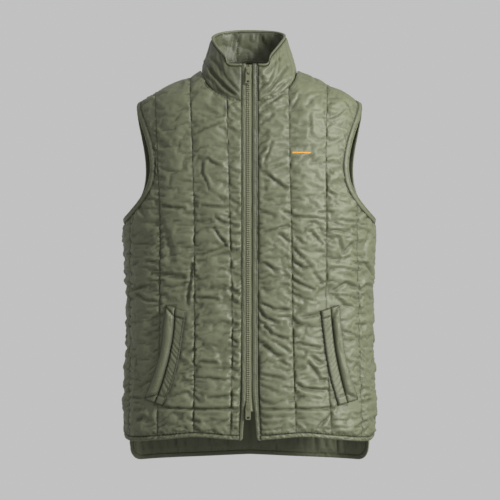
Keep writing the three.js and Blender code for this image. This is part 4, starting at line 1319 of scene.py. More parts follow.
@dataclass(frozen=True)
class ClothFinish:
    """A woven cloth: its colours, gloss and the sizes of its weave and creases, in millimetres; its seam
    colour is mixed in along sewing and as painted shade.
    """

    name: str
    colour: str
    light: str
    seam_and_shade_colour: str
    roughness: float = 0.54
    specular: float = 0.42
    sheen: float = 0.25
    weave: float = 1.1
    weave_depth: float = 0.03
    crinkle: float = 9.0
    crinkle_depth: float = 0.25

    def make(self) -> Material:
        """Builds the material.

        Returns:
            The material, with its nodes.
        """
        material = bpy.data.materials.new(self.name)
        material.use_nodes = True
        tree = material.node_tree
        shader = tree.nodes["Principled BSDF"]
        add = partial(add_node, tree)
        place = add("ShaderNodeTexCoord").outputs["Object"]
        cloud = add(
            "ShaderNodeTexNoise", {"Vector": place, "Scale": per_metre(70), "Detail": 4.0, "Roughness": 0.6}
        )
        tone = add(
            "ShaderNodeMix",
            {"Factor": cloud.outputs["Fac"], 6: to_linear(self.colour), 7: to_linear(self.light)},
            data_type="RGBA",
        )
        # The attribute seam mixes in the seam colour: along sewing, and as painted shade in hollows, creases
        # and beside raised parts.
        near = add("ShaderNodeAttribute", attribute_name="seam")
        soft = add("ShaderNodeMath", {0: near.outputs["Fac"], 1: 0.72}, operation="MULTIPLY")
        colour = add(
            "ShaderNodeMix",
            {"Factor": soft.outputs[0], 6: tone.outputs[2], 7: to_linear(self.seam_and_shade_colour)},
            data_type="RGBA",
        )
        tree.links.new(colour.outputs[2], shader.inputs["Base Color"])
        gloss = add(
            "ShaderNodeMapRange",
            {"Value": cloud.outputs["Fac"], "From Min": 0.3, "From Max": 0.7,
             "To Min": self.roughness - 0.05, "To Max": self.roughness + 0.06},
        )
        tree.links.new(gloss.outputs["Result"], shader.inputs["Roughness"])
        shader.inputs["Specular IOR Level"].default_value = self.specular
        shader.inputs["Sheen Weight"].default_value = self.sheen
        shader.inputs["Sheen Roughness"].default_value = 0.45
        shader.inputs["Sheen Tint"].default_value = to_linear(self.light)
        tree.links.new(self._relief(tree, place), shader.inputs["Normal"])
        return material

    def _relief(self, tree: bpy.types.NodeTree, place: bpy.types.NodeSocket) -> bpy.types.NodeSocket:
        """Fine creases and the weave, as bump.

        Args:
            tree: the material's nodes.
            place: the object coordinates.

        Returns:
            The normal to shade with.
        """
        add = partial(add_node, tree)
        stray = add("ShaderNodeTexNoise", {"Vector": place, "Scale": per_metre(14), "Detail": 2.0})
        strayed = add(
            "ShaderNodeVectorMath", {0: stray.outputs["Color"], 1: (0.012, 0.012, 0.012), 2: place},
            operation="MULTIPLY_ADD",
        )
        flattened = add("ShaderNodeMapping", {"Vector": strayed.outputs[0], "Scale": (1, 1, 1.6)})
        creases = add(
            "ShaderNodeTexVoronoi", {"Vector": flattened.outputs[0], "Scale": per_metre(self.crinkle)}
        )
        first = add(
            "ShaderNodeBump",
            {"Height": creases.outputs["Distance"], "Distance": self.crinkle_depth / 1000, "Strength": 1.0},
        )
        across = add(
            "ShaderNodeTexWave",
            {"Vector": place, "Scale": per_metre(self.weave) / 6.283, "Distortion": 0.4},
            wave_type="BANDS", bands_direction="DIAGONAL",
        )
        second = add(
            "ShaderNodeBump",
            {"Height": across.outputs["Fac"], "Distance": self.weave_depth / 1000, "Strength": 1.0,
             "Normal": first.outputs["Normal"]},
        )
        return second.outputs["Normal"]


@dataclass(frozen=True)
class MetalFinish:
    """Cast zinc under a thin coat of coloured lacquer."""

    name: str
    colour: str
    roughness: float = 0.36
    metallic: float = 0.75

    def make(self) -> Material:
        """Builds the material.

        Returns:
            The material, with its nodes.
        """
        material = bpy.data.materials.new(self.name)
        material.use_nodes = True
        tree = material.node_tree
        shader = tree.nodes["Principled BSDF"]
        add = partial(add_node, tree)
        place = add("ShaderNodeTexCoord").outputs["Object"]
        wear = add("ShaderNodeTexNoise", {"Vector": place, "Scale": per_metre(2.2), "Detail": 3.0})
        tone = add(
            "ShaderNodeMapRange",
            {"Value": wear.outputs["Fac"], "To Min": self.roughness - 0.08, "To Max": self.roughness + 0.1},
        )
        tree.links.new(tone.outputs["Result"], shader.inputs["Roughness"])
        shader.inputs["Base Color"].default_value = to_linear(self.colour)
        shader.inputs["Metallic"].default_value = self.metallic
        return material


# Nylon satin, dyed sage: a dull gloss, with creases that stay from wearing and washing.
SHELL = ClothFinish("nylon_satin_shell", "#5b5f48", "#676b53", "#2f311f")
# The same satin cut on the bias for bindings, painted a little darker as painted shade of their many puckers,
# with a dark seam colour for the painted shade in their hollows.
BINDING = ClothFinish("nylon_satin_binding", "#585c46", "#63674f", "#1b1c12", crinkle=7.0, crinkle_depth=0.2)
# Woven polyester tape: matt, with a close rib; its seam colour paints the shade between the coil's teeth.
TAPE = ClothFinish("polyester_zip_tape", "#67694f", "#70725a", "#2c2e22", roughness=0.8, sheen=0.1,
                   weave=1.6, weave_depth=0.2, crinkle=9, crinkle_depth=0.1)
# Moulded polyester coil, dyed with the tape: smooth and a little glossy.
COIL = ClothFinish("polyester_zip_coil", "#8a8d73", "#95987d", "#454834", roughness=0.45, sheen=0.0,
                   weave=2.0, weave_depth=0.05, crinkle=2, crinkle_depth=0.05)
# Spun polyester thread pulled down into the cloth: matt and in its own shade.
THREAD = ClothFinish("polyester_thread", "#2f311f", "#383a28", "#262819", roughness=0.75, sheen=0.1,
                     weave=0.8, weave_depth=0.1, crinkle=2, crinkle_depth=0.05)
# Embroidery thread in gold: silky.
GOLD = ClothFinish("rayon_thread_gold", "#d9992f", "#e6ab44", "#b87f25", roughness=0.4, sheen=0.2,
                   weave=0.9, weave_depth=0.1, crinkle=2, crinkle_depth=0.05)
# Zinc casting in sage lacquer: duller than bare metal, with rubbed places that shine.
LACQUER = MetalFinish("lacquered_zinc", "#7f8268")


class RunOfPieces:
    """Small rounded pieces set at even steps along lines, such as stitches and the teeth of a zip."""

    def __init__(self) -> None:
        """Builds the node tree once; every run uses it with its own sizes."""
        tree = bpy.data.node_groups.new("pieces_along_lines", "GeometryNodeTree")
        make = tree.interface.new_socket
        make(name="Geometry", in_out="INPUT", socket_type="NodeSocketGeometry")
        make(name="Geometry", in_out="OUTPUT", socket_type="NodeSocketGeometry")
        self.sockets = {}
        for name in ("Pitch", "Length", "Width", "Height", "Turn"):
            self.sockets[name] = make(name=name, in_out="INPUT", socket_type="NodeSocketFloat").identifier
        material = make(name="Material", in_out="INPUT", socket_type="NodeSocketMaterial")
        self.sockets["Material"] = material.identifier
        add = partial(add_node, tree)
        given = add("NodeGroupInput").outputs
        curve = add("GeometryNodeMeshToCurve", {"Mesh": given["Geometry"]})
        steps = add(
            "GeometryNodeResampleCurve",
            {"Curve": curve.outputs[0], "Length": given["Pitch"]}, mode="LENGTH",
        )
        bead = add("GeometryNodeMeshUVSphere", {"Segments": 6, "Rings": 4, "Radius": 0.5})
        tangent = add("GeometryNodeInputTangent")
        up = add("GeometryNodeInputNamedAttribute", {"Name": "up"}, data_type="FLOAT_VECTOR")
        along = add("FunctionNodeAlignRotationToVector", {"Vector": tangent.outputs[0]}, axis="X")
        facing = add(
            "FunctionNodeAlignRotationToVector",
            {"Rotation": along.outputs[0], "Vector": up.outputs[0]}, axis="Z", pivot_axis="X",
        )
        spin = add("ShaderNodeCombineXYZ", {"Z": given["Turn"]})
        as_rotation = add("FunctionNodeEulerToRotation", {0: spin.outputs[0]})
        turned = add(
            "FunctionNodeRotateRotation",
            {"Rotation": facing.outputs[0], "Rotate By": as_rotation.outputs[0]}, rotation_space="LOCAL",
        )
        size = add(
            "ShaderNodeCombineXYZ", {"X": given["Length"], "Y": given["Width"], "Z": given["Height"]}
        )
        placed = add(
            "GeometryNodeInstanceOnPoints",
            {"Points": steps.outputs[0], "Instance": bead.outputs["Mesh"], "Rotation": turned.outputs[0],
             "Scale": size.outputs[0]},
        )
        real = add("GeometryNodeRealizeInstances", {"Geometry": placed.outputs[0]})
        dressed = add(
            "GeometryNodeSetMaterial", {"Geometry": real.outputs[0], "Material": given["Material"]}
        )
        add("NodeGroupOutput", {0: dressed.outputs[0]})
        self.tree = tree

    def lay(
        self,
        name: str,
        runs: Sequence[Pair],
        finish: Material,
        pitch: float,
        length: float,
        width: float,
        height: float,
        turn: float = 0.0,
    ) -> Object:
        """Lays pieces along lines and makes them one plain mesh.

        Args:
            name: the new object's name.
            runs: each line's points and outward directions, in millimetres.
            finish: the material.
            pitch: distance from one piece to the next.
            length: size along the line.
            width: size across it.
            height: size out of the cloth.
            turn: how far each piece is turned about the outward direction, in radians.

        Returns:
            The new object.
        """
        points = np.concatenate([run[0] for run in runs])
        ups = np.concatenate([run[1] for run in runs])
        edges, start = [], 0
        for run, _ in runs:
            edges += [(i, i + 1) for i in range(start, start + len(run) - 1)]
            start += len(run)
        mesh = bpy.data.meshes.new(name)
        mesh.from_pydata((points / 1000).tolist(), edges, [])
        mesh.attributes.new("up", "FLOAT_VECTOR", "POINT").data.foreach_set("vector", ups.ravel())
        piece = bpy.data.objects.new(name, mesh)
        bpy.context.scene.collection.objects.link(piece)
        modifier = piece.modifiers.new("run", "NODES")
        modifier.node_group = self.tree
        sizes = {"Pitch": pitch, "Length": length, "Width": width, "Height": height}
        for key, value in sizes.items():
            modifier[self.sockets[key]] = value / 1000
        modifier[self.sockets["Turn"]] = turn
        modifier[self.sockets["Material"]] = finish
        graph = bpy.context.evaluated_depsgraph_get()
        made = bpy.data.meshes.new_from_object(piece.evaluated_get(graph))
        piece.modifiers.clear()
        piece.data = made
        made.name = name
        made.polygons.foreach_set("use_smooth", [True] * len(made.polygons))
        return piece


def dress(piece: Object, finish: Material, slot: str, *nodes: str) -> Object:
    """Gives a piece its material and body, and hides the solids it stands for.

    Args:
        piece: the object.
        finish: its material.
        slot: not used.
        nodes: the solids that it replaces.

    Returns:
        The same object.
    """
    if not piece.data.materials:
        piece.data.materials.append(finish)
    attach(piece, "vest")
    if nodes:
        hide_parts(*nodes)
    log.info("%s: %d faces", piece.name, len(piece.data.polygons))
    return piece


@dataclass(frozen=True)
class BandSection:
    """The closed section of a band: shares from the free edge to the stitching, and lifts."""

    outer: tuple[tuple[float, float], ...] = (
        (0.0, 1.1), (0.05, 2.3), (0.15, 3.2), (0.3, 3.7), (0.45, 3.8), (0.6, 3.7), (0.75, 3.3), (0.87, 2.6),
        (0.95, 1.8), (1.0, 1.4),
    )
    inner: tuple[tuple[float, float], ...] = (
        (1.12, 0.1), (0.8, 0.0), (0.6, -0.3), (0.4, -0.4), (0.2, -0.2), (0.04, 0.2),
    )
    pucker: float = 1.6
    period: float = 5.6

    def shares(self) -> Array:
        """Share across of each point of the section."""
        return np.array([s for s, _ in self.outer + self.inner])

    def lifts(self, along: Array, seed: int) -> Array:
        """Lift of each point of the section at each place along the band.

        Args:
            along: distance along the band, in millimetres.
            seed: chooses the puckers.

        Returns:
            An array of places by points.
        """
        shares = self.shares()[None, :]
        lifts = np.array([v for _, v in self.outer + self.inner])[None, :] + 0 * along[:, None]
        outside = np.array([1.0] * len(self.outer) + [-0.5] * len(self.inner))[None, :]
        slant = along[:, None] + 4.0 * shares
        fine = ridged(slant / self.period, shares * 1.2, seed)
        broad = noise(slant / (self.period * 4.3), shares, seed + 1) - 0.5
        reach = np.sin(np.pi * np.clip(shares * 0.92 + 0.04, 0, 1)) ** 0.6
        return lifts + outside * reach * (self.pucker * fine * 1.5 + 0.9 * self.pucker * broad)


@dataclass
class Station:
    """Places along a band: the free edge and the stitch line as angles and heights, with the face's sign."""

    sign: Array
    edge_angle: Array
    edge_z: Array
    stitch_angle: Array
    stitch_z: Array

    def spaced(self, step: float) -> "Station":
        """The same band with places at even steps along it.

        Args:
            step: distance between them.

        Returns:
            The new places.
        """
        points = BODY.point(self.sign, self.stitch_angle, self.stitch_z)
        done = run_length(points)
        even = np.linspace(0, done[-1], max(4, math.ceil(done[-1] / step)) + 1)
        rows = (self.edge_angle, self.edge_z, self.stitch_angle, self.stitch_z)
        sign = self.sign[np.clip(np.searchsorted(done, even), 0, len(done) - 1)]
        return Station(sign, *(np.interp(even, done, row) for row in rows))

    def at(self, share: Array, lift: Array) -> Array:
        """Points of the band at shares across it and lifts off the body.

        Args:
            share: one share for each point of the section.
            lift: places by points of the section.

        Returns:
            Places by points of the section by 3.
        """
        angle = mix(self.edge_angle[:, None], self.stitch_angle[:, None], share)
        z = mix(self.edge_z[:, None], self.stitch_z[:, None], share)
        return BODY.lifted(self.sign[:, None] + 0 * angle, angle, z, lift)

    def rings(self, section: BandSection, seed: int) -> Pair:
        """The band's cross-sections.

        Args:
            section: the band's section.
            seed: chooses the pattern.

        Returns:
            Places by points of the section by 3, and the lifts.
        """
        along = run_length(BODY.point(self.sign, self.stitch_angle, self.stitch_z))
        lifts = section.lifts(along, seed)
        return self.at(section.shares()[None, :] + 0 * along[:, None], lifts), lifts

    def stitches(self, share: float, lift: float) -> Pair:
        """A line along the band.

        Args:
            share: share of the way across.
            lift: how far it stands off.

        Returns:
            The points, and a unit vector for each.
        """
        flat = np.full((len(self.sign), 1), share)
        points = self.at(flat, flat * 0 + lift)[:, 0]
        base = self.at(flat, flat * 0)[:, 0]
        return points, BODY.normal(self.sign, base)


MIRROR_X = np.array([-1, 1, 1])


def hem_station(panel: HalfPanel) -> Station:
    """The band along a half panel's foot, round its corner and up the vent.

    Args:
        panel: the half panel.

    Returns:
        The band's places from the centre outwards.
    """
    vent, sign = panel.vent, panel.sign
    centre, inset = vent.spread + vent.corner_depth, HEM_BAND + SEAM_GAP
    angle, z = panel.angle[0], panel.z[0]
    at = BODY.point(sign, angle, z)
    sine = np.clip((centre - np.abs(at[:, 1])) / (vent.corner_depth - inset), 0, 1)
    turn = np.arcsin(sine)
    foot = vent.foot(at[:, 0])
    rows = []
    for reach in (0.0, HEM_BAND):
        height = foot + vent.corner_rise - (vent.corner_rise - reach) * np.cos(turn)
        round_angle = BODY.angle_at_depth(centre - (vent.corner_depth - reach) * sine, height, sign)
        here = np.where(sine == 0, angle, round_angle)
        side_z = panel.z[1 : panel.lower_rows, -1]
        side_z = side_z[side_z < vent.top]
        side = BODY.angle_at_depth(vent.side_depth(side_z, reach), side_z, sign)
        rows += [np.concatenate([here, side]), np.concatenate([height, side_z])]
    return Station(np.full(len(rows[0]), float(sign)), *rows)


def armhole_station() -> Station:
    """The ring of the armhole's band, down the front and up the back.

    Returns:
        The band's places.
    """
    turns = np.linspace(0, math.pi, 160)
    parts = []
    for sign, order in ((-1, turns), (1, turns[::-1][1:-1])):
        edge = ARMHOLE.edge(sign, order)
        away = ARMHOLE.away(sign, order, ARMHOLE_BAND)
        parts.append((np.full(len(order), float(sign)), *edge, *away))
    return Station(*(np.concatenate(rows) for rows in zip(*parts)))


OPENING = {
    "z": (-660, -640, -597, -560, -66, 20),
    "right_seam": (18.4, 18, 14.6, 13.4, 13.4, 13.4),
    "right_edge": (12, 11.3, 8.6, 6.6, 6.6, 6.6),
    "left_edge": (14, 12.4, 8.6, 4.6, 4.6, 4.6),
    "left_seam": (20, 19.5, 16.4, 15, 14.8, 14.8),
}
COLLAR_TOP = (
    (-13.4, -84, 1), (-31, -83.5, 1), (-37, -81, 3), (-39.5, -75, 13), (-49, -50, 27), (-56.5, -22, 40),
    (-62, 5, 52), (-60, 28, 61), (-49, 47, 68), (-28, 57, 72), (0, 59, 73), (28, 57, 72), (48, 47, 69),
    (58.5, 28, 63), (59, 5, 55), (52, -22, 43), (43.5, -50, 29.5), (34, -75, 14.5), (32, -81, 4),
    (27, -83.5, 1), (14.8, -84, 1),
)


def centre_front(x: Array, z: Array, lift: Array) -> Array:
    """Points of the centre front, which runs down the body and up the collar.

    Args:
        x: signed distance from the centre.
        z: height.
        lift: how far the points stand off.

    Returns:
        The points.
    """
    x, z, lift = np.broadcast_arrays(np.asarray(x, float), np.asarray(z, float), np.asarray(lift, float))
    seam = BODY.top_edge(-1, x)
    low_z = np.minimum(z, seam)
    low = BODY.point(-1, angle_signed(x, low_z), low_z)
    up = BODY.normal(-1, low)
    top_y, top_z = COLLAR_TOP[0][1], COLLAR_TOP[0][2]
    share = np.clip((z - seam) / (top_z - seam), 0, 2)
    tilt = np.arctan2(top_y - low[..., 1], top_z - seam)
    normal = np.stack([0 * tilt, -np.cos(tilt), np.sin(tilt)], axis=-1)
    turn = smooth(0, 0.25, share)[..., None]
    point = np.stack([x, mix(low[..., 1], top_y, share), z], axis=-1)
    point = np.where((z <= seam)[..., None], low, point)
    return point + unit(mix(up, normal, turn)) * lift[..., None]


@dataclass
class FrontOpening:
    """The zip and the bands beside it."""

    zip_x: float = -2.2
    tape_top: float = -1.0
    tape_foot: float = -596.0
    chain_top: float = -26.0
    chain_foot: float = -578.0
    band_foot: float = -645.0
    band_top: float = 0.5
    rows_left: tuple[float, float] = (0.33, 0.8)
    corner: float = 4.5

    def edge(self, key: str, z: Array) -> Array:
        """Distance of one of the opening's edges from the centre."""
        return Curve(OPENING["z"], OPENING[key])(z)

    def band(self, name: str, side: Side, height: float, finish: Material) -> Object:
        """A padded band from its free edge at the zip to its seam on the panel.

        Args:
            name: the object's and the node's name.
            side: the wearer's side.
            height: lift at its crown.
            finish: its material.

        Returns:
            The dressed object.
        """
        key = "right" if side is Side.RIGHT else "left"
        r = self.corner
        start = self.band_foot + r * (1 - np.cos(np.linspace(0, math.pi / 2, 7)))
        z = np.concatenate([start, np.linspace(start[-1] + 1.2, self.band_top, 325)])[:, None]
        rounding = r - np.sqrt(r**2 - (r - np.clip(z - self.band_foot, 0, r)) ** 2)
        edge, seam = self.edge(f"{key}_edge", z) + rounding, self.edge(f"{key}_seam", z) - SEAM_GAP
        shares = np.concatenate([[0, 0.03, 0.08], np.linspace(0.13, 0.97, 18), [1.0]])
        profile = ([0, 0.04, 0.12, 0.25, 0.6, 0.85, 1.0], [0.3, 0.7, 0.92, 1.0, 0.96, 0.78, 0.42])
        shape = np.interp(shares, *profile)
        under = np.linspace(0.97, 0.02, len(shares) - 4)
        top = len(shares)
        share = np.concatenate([shares, under])[None, :]
        lifts = np.concatenate([shape * height, 0 * under + 0.3])[None, :]
        slant = z - 3 * share * (1 if side is Side.RIGHT else -1)
        fine = ridged(slant / 5.5, share * 0.8, 300 + side.value)
        broad = noise(slant / 21, share, 310 + side.value) - 0.5
        outside = (np.arange(share.size) < top)[None, :] * 1.0
        lifts = lifts + outside * (0.2 + 0.8 * np.sin(np.pi * share)) * (1.1 * fine + 0.9 * broad)
        sway = 0.5 * (noise(z / 26, 0 * z, 320 + side.value) - 0.5) * (1 - share)
        x = (mix(edge, seam, share) + sway) * side.value
        rings = centre_front(x, z + 0 * x, np.maximum(lifts, 0.2))
        piece = tube(f"{name}_cloth", rings)
        # Darker at the seam, with painted shade in the hollows of the puckers; on the left, painted shade of
        # the sunken lane beside the zip, darker along its two stitch rows and over the upper part.
        sewn = np.exp(-((1 - share) / 0.07)) + 0.9 * hollows(lifts + 0 * z, 2, 0.7)
        if side is Side.LEFT:
            for row in self.rows_left:
                sewn = sewn + 0.45 * bump(share - row, 0.07)
            sewn = sewn + 0.25 * smooth(-380, -200, z)
        set_seam_and_shade(piece, np.clip(sewn, 0, 1) * outside)
        dress(piece, finish, "trim_cloth", name)
        return piece

    def stitch_run(self, side: Side, share: float, lift: float) -> Pair:
        """A line of sewing down a band.

        Args:
            side: the wearer's side.
            share: share of the way across.
            lift: how far it stands off.

        Returns:
            The points, and a unit vector for each.
        """
        key = "right" if side is Side.RIGHT else "left"
        z = np.linspace(self.band_foot + 3, self.band_top - 1.5, 330)
        x = mix(self.edge(f"{key}_edge", z), self.edge(f"{key}_seam", z), share) * side.value
        points = centre_front(x, z, 0 * z + lift)
        return points, unit(points - centre_front(x, z, 0 * z))

    def tape(self, name: str, band: str, near: float, far: float, finish: Material) -> Object:
        """One of the zip's two tapes, which goes under the band beside it.

        Args:
            name: the node's name.
            band: not used.
            near: x of the edge in the chain.
            far: x of the edge under the band.
            finish: its material.

        Returns:
            The dressed object.
        """
        z = np.linspace(self.tape_foot, self.tape_top, 240)[:, None]
        share = np.linspace(0, 1, 12)[None, :]
        x = mix(near, far, share) + 0 * z
        wave = 0.35 * (noise(z / 18, 0 * z, 331) - 0.5) * np.sin(np.pi * share)
        lift = 2.2 + wave - 2.6 * smooth(0.36, 0.6, share)
        outer = centre_front(x, z + 0 * x, lift)
        inner = centre_front(x, z + 0 * x, lift - 0.9)
        piece = wall(f"{name}_cloth", inner, outer)
        # Painted shade on the tape beside the coil, which shows dark between the teeth, and a darker line
        # where it is sewn.
        sewn = bump(share - 0.34, 0.05)
        set_seam_and_shade(piece, 0.95 * np.exp(-((share * abs(far - near) / 2.6) ** 4)) + 0.5 * sewn + 0 * z)
        dress(piece, finish, "zip_tape", name)
        return piece

    def chain(self, runs: RunOfPieces, finish: Material) -> Object:
        """The coil's two rows of teeth, drawn level and 3.6 mm apart, as the real 1.5 mm would not show.

        Args:
            runs: lays the pieces.
            finish: its material.

        Returns:
            The dressed object.
        """
        rows = []
        z = np.linspace(self.chain_foot, self.chain_top, 500)
        for x in (self.zip_x - 1.25, self.zip_x + 1.25):
            points = centre_front(x + 0 * z, z, 3.2 + 0 * z)
            rows.append((points, unit(points - centre_front(x + 0 * z, z, 0 * z))))
        piece = runs.lay("zip_coil", rows, finish, 3.6, 2.0, 3.1, 2.9, turn=0.2)
        return dress(piece, finish, "zip_tape", "zip_chain")


@dataclass
class Collar:
    """The stand collar and the binding of its top edge."""

    wall_lift: float = 3.2
    belly: float = 1.2
    binding: float = 5.0
    spacing: float = 2.6
    seed: int = 400

    def seam(self, right: HalfPanel, left: HalfPanel, back: HalfPanel) -> Array:
        """The seam on the panels, from the zip on the wearer's right round to the left.

        Args:
            right: the right front.
            left: the left front.
            back: half of the back.

        Returns:
            The points.
        """

        def top_of(panel: HalfPanel, mirror: int) -> Array:
            """A panel's neckline, lifted by what its wall needs.

            Args:
                panel: the half panel.
                mirror: -1 on the wearer's right.

            Returns:
                The points.
            """
            points = BODY.point(panel.sign, panel.angle[-1], panel.z[-1] + SEAM_GAP)
            points = points[np.abs(points[:, 0]) < NECK_HALF - 0.3]
            up = np.maximum(0, BODY.normal(panel.sign, points)[:, 2])
            points[:, 2] += 0.5 + 2.6 * up
            return points * np.array([mirror, 1, 1])

        side = np.array([[NECK_HALF, 0, NECK_SIDE_Z + 3.2]])
        behind = top_of(back, 1)
        parts = [
            top_of(right, -1), side * MIRROR_X, behind[1:][::-1] * MIRROR_X, behind, side,
            top_of(left, 1)[::-1],
        ]
        return np.concatenate(parts)

    def top_edge(self) -> Array:
        """The top edge, as a centripetal curve through its corners.

        Returns:
            The points.
        """
        corners = np.array(COLLAR_TOP, float)
        ends = [2 * corners[0] - corners[1], 2 * corners[-1] - corners[-2]]
        p = np.concatenate([[ends[0]], corners, [ends[1]]])
        out = []
        for i in range(1, len(p) - 2):
            gaps = [max(1e-4, float(np.linalg.norm(p[j + 1] - p[j])) ** 0.5) for j in (i - 1, i, i + 1)]
            at = np.concatenate([[0], np.cumsum(gaps)])
            t = np.linspace(at[1], at[2], 24, endpoint=False)[:, None]
            a = [mix(p[i - 1 + k], p[i + k], (t - at[k]) / (at[k + 1] - at[k])) for k in range(3)]
            b = [mix(a[k], a[k + 1], (t - at[k]) / (at[k + 2] - at[k])) for k in range(2)]
            out.append(mix(b[0], b[1], (t - at[1]) / (at[2] - at[1])))
        return np.concatenate(out + [corners[-1:]])

    def lay_out(self, right: HalfPanel, left: HalfPanel, back: HalfPanel) -> None:
        """Works out the collar's two edges and its outward directions.

        Args:
            right: the right front.
            left: the left front.
            back: half of the back.
        """
        seam = self.seam(right, left, back)
        count = math.ceil(run_length(seam)[-1] / self.spacing)
        even = np.linspace(0, 1, count + 1)
        self.foot = resampled(seam, even)
        self.top = resampled(self.top_edge(), even)
        middle = self.foot + self.top
        along = np.gradient(middle, axis=0)
        normal = unit(np.cross(along, self.top - self.foot))
        normal = normal if normal[count // 2, 1] > 0 else -normal
        for _ in range(6):
            normal[1:-1] = unit(normal[:-2] + normal[1:-1] + normal[2:])
        self.normal = normal
        self.tall = np.linalg.norm(self.top - self.foot, axis=-1)
        self.along = run_length(self.foot)
        self.stitch = 1 - self.binding / self.tall

    def at(self, share: Array, lift: Array) -> Array:
        """Points of the collar.

        Args:
            share: share of the way up, rows by columns.
            lift: how far outward, rows by columns.

        Returns:
            Rows by columns by 3.
        """
        belly = self.belly * np.sin(np.pi * np.clip(share, 0, 1)) ** 0.8
        base = self.foot + (self.top - self.foot) * share[..., None]
        return base + self.normal * (lift + belly)[..., None]

    def folds(self, share: Array, up: Array, along: Array) -> Array:
        """The lift of the collar's folds, with those listed for the side that faces forward.

        Args:
            share: share of the way up.
            up: height above the seam.
            along: distance along the seam.

        Returns:
            The added lift.
        """
        base = self.foot + (self.top - self.foot) * share[..., None]
        x, y, z = np.moveaxis(base, -1, 0)
        lean = np.where(x < 0, -1.0, 1.0)
        slant = up + 0.8 * lean * (along - self.along[-1] / 2)
        fold = ridged(slant / 13, along / 110, self.seed)
        fine = ridged(slant / 5, along / 70, self.seed + 1)
        drawn = sum((crease.height(x, z) for crease in COLLAR_CREASES), np.zeros_like(x))
        drawn = np.clip(drawn, -3.4, 2.6) * (y < 5)
        soft = 1.4 * (noise(along / 28, up / 22, self.seed + 2) - 0.5)
        return 2.4 * fold + 0.45 * fine + soft + drawn

    def shell(self, finish: Material) -> Object:
        """The padded stand.

        Args:
            finish: its material.

        Returns:
            The dressed object.
        """
        middle_rows = np.linspace(0.07, 0.95, 28)
        shares = np.concatenate([[-0.07, -0.03, 0, 0.02, 0.04], middle_rows, [0.975, 0.99, 1.0]])[:, None]
        share = shares * self.stitch[None, :]
        up, along = share * self.tall, self.along[None, :] + 0 * share
        below = (self.stitch[None, :] - share) * self.tall
        edge = np.maximum(np.minimum.reduce([up, below, along, self.along[-1] - along]), 0)
        soft = 1 - np.exp(-edge / 3.0)
        puckers = ridged(along / 7.5, edge / 30, self.seed + 9)
        puckers = np.exp(-edge / 8) * (1 - np.exp(-edge / 1.6)) * puckers
        lift = self.wall_lift - 1.2 + soft * (1.8 + self.folds(share, up, along)) + 2.2 * puckers
        lift = np.where(shares < 0, 0.6, np.maximum(lift, 1.2))
        gather = ridged((along + 0.3 * up) / 17, up / 50, self.seed + 30)
        gather = gather + 0.5 * ridged((along - 0.2 * up) / 8, up / 24, self.seed + 31)
        inner = -soft * (1.0 + 4.2 * gather) - 1.6 * (shares < 0.03)
        piece = wall("collar_cloth", self.at(share, inner), self.at(share, lift))
        sewn = bump(edge, 2.0)
        middle = self.along[-1] / 2
        # Painted shade: the outside darker over the wearer's right half and in its hollows; the inside darker
        # all over, most on the wearer's left, and in its gathers.
        painted_side_shade = 0.72 * smooth(20, 90, middle - along) * (shares > 0)
        shown = np.maximum(sewn, painted_side_shade + hollows(lift, 3, 0.9))
        shaded = 0.45 + 0.5 * smooth(-40, 60, along - middle)
        set_seam_and_shade(piece, np.stack([shown, np.maximum(sewn, shaded + hollows(-inner, 3, 0.9))]).clip(0, 1))
        dress(piece, finish, "shell_cloth", "collar")
        return piece

    def edging(self, finish: Material) -> Object:
        """The binding over the top edge.

        Args:
            finish: its material.

        Returns:
            The dressed object.
        """
        shares = np.array([0, 0.08, 0.25, 0.45, 0.65, 0.82, 0.94, 1.0, 0.98, 0.85, 0.65, 0.45, 0.25, 0.02])
        lifts = np.array([1.6, 2.4, 3.4, 4.0, 4.1, 3.8, 3.0, 1.9, 0.7, -0.3, -0.9, -1.0, -0.8, 0.2])
        outside = np.array([1.0] * 8 + [-0.6] * 6)
        along = self.along[:, None]
        pucker = ridged((along + 3 * shares) / 5.0, shares * 0.7, self.seed + 50)
        lift = lifts[None, :] + outside * np.sin(np.pi * np.clip(shares, 0.05, 0.95)) * 0.9 * pucker
        share = mix(self.stitch[:, None] + 0.004, 1.0, shares[None, :])
        rings = np.stack([self.at(share[:, k], lift[:, k]) for k in range(len(shares))], axis=1)
        piece = tube("collar_binding_cloth", rings)
        set_seam_and_shade(piece, np.tile(bump(shares, 0.12), (len(along), 1)))
        dress(piece, finish, "trim_cloth", "collar_binding")
        return piece

    def upright(self, x: float) -> Pair:
        """A line of sewing that runs up the inside of the collar behind the neck.

        Args:
            x: signed distance from the centre.

        Returns:
            The points, and a unit vector for each.
        """
        behind = np.where(self.top[:, 1] > 40, np.abs(self.top[:, 0] - x), 1e9)
        i = int(np.argmin(behind))
        share = np.linspace(0.04, 0.9, 40)
        points = self.foot[i] + (self.top[i] - self.foot[i]) * share[:, None] - self.normal[i] * 0.6
        return points, np.tile(-self.normal[i], (40, 1))

    def stitches(self, share_of_top: float, lift: float) -> Pair:
        """A line of sewing round the collar."""
        share = self.stitch * share_of_top
        return self.at(share, 0 * share + lift), self.normal * np.sign(lift)


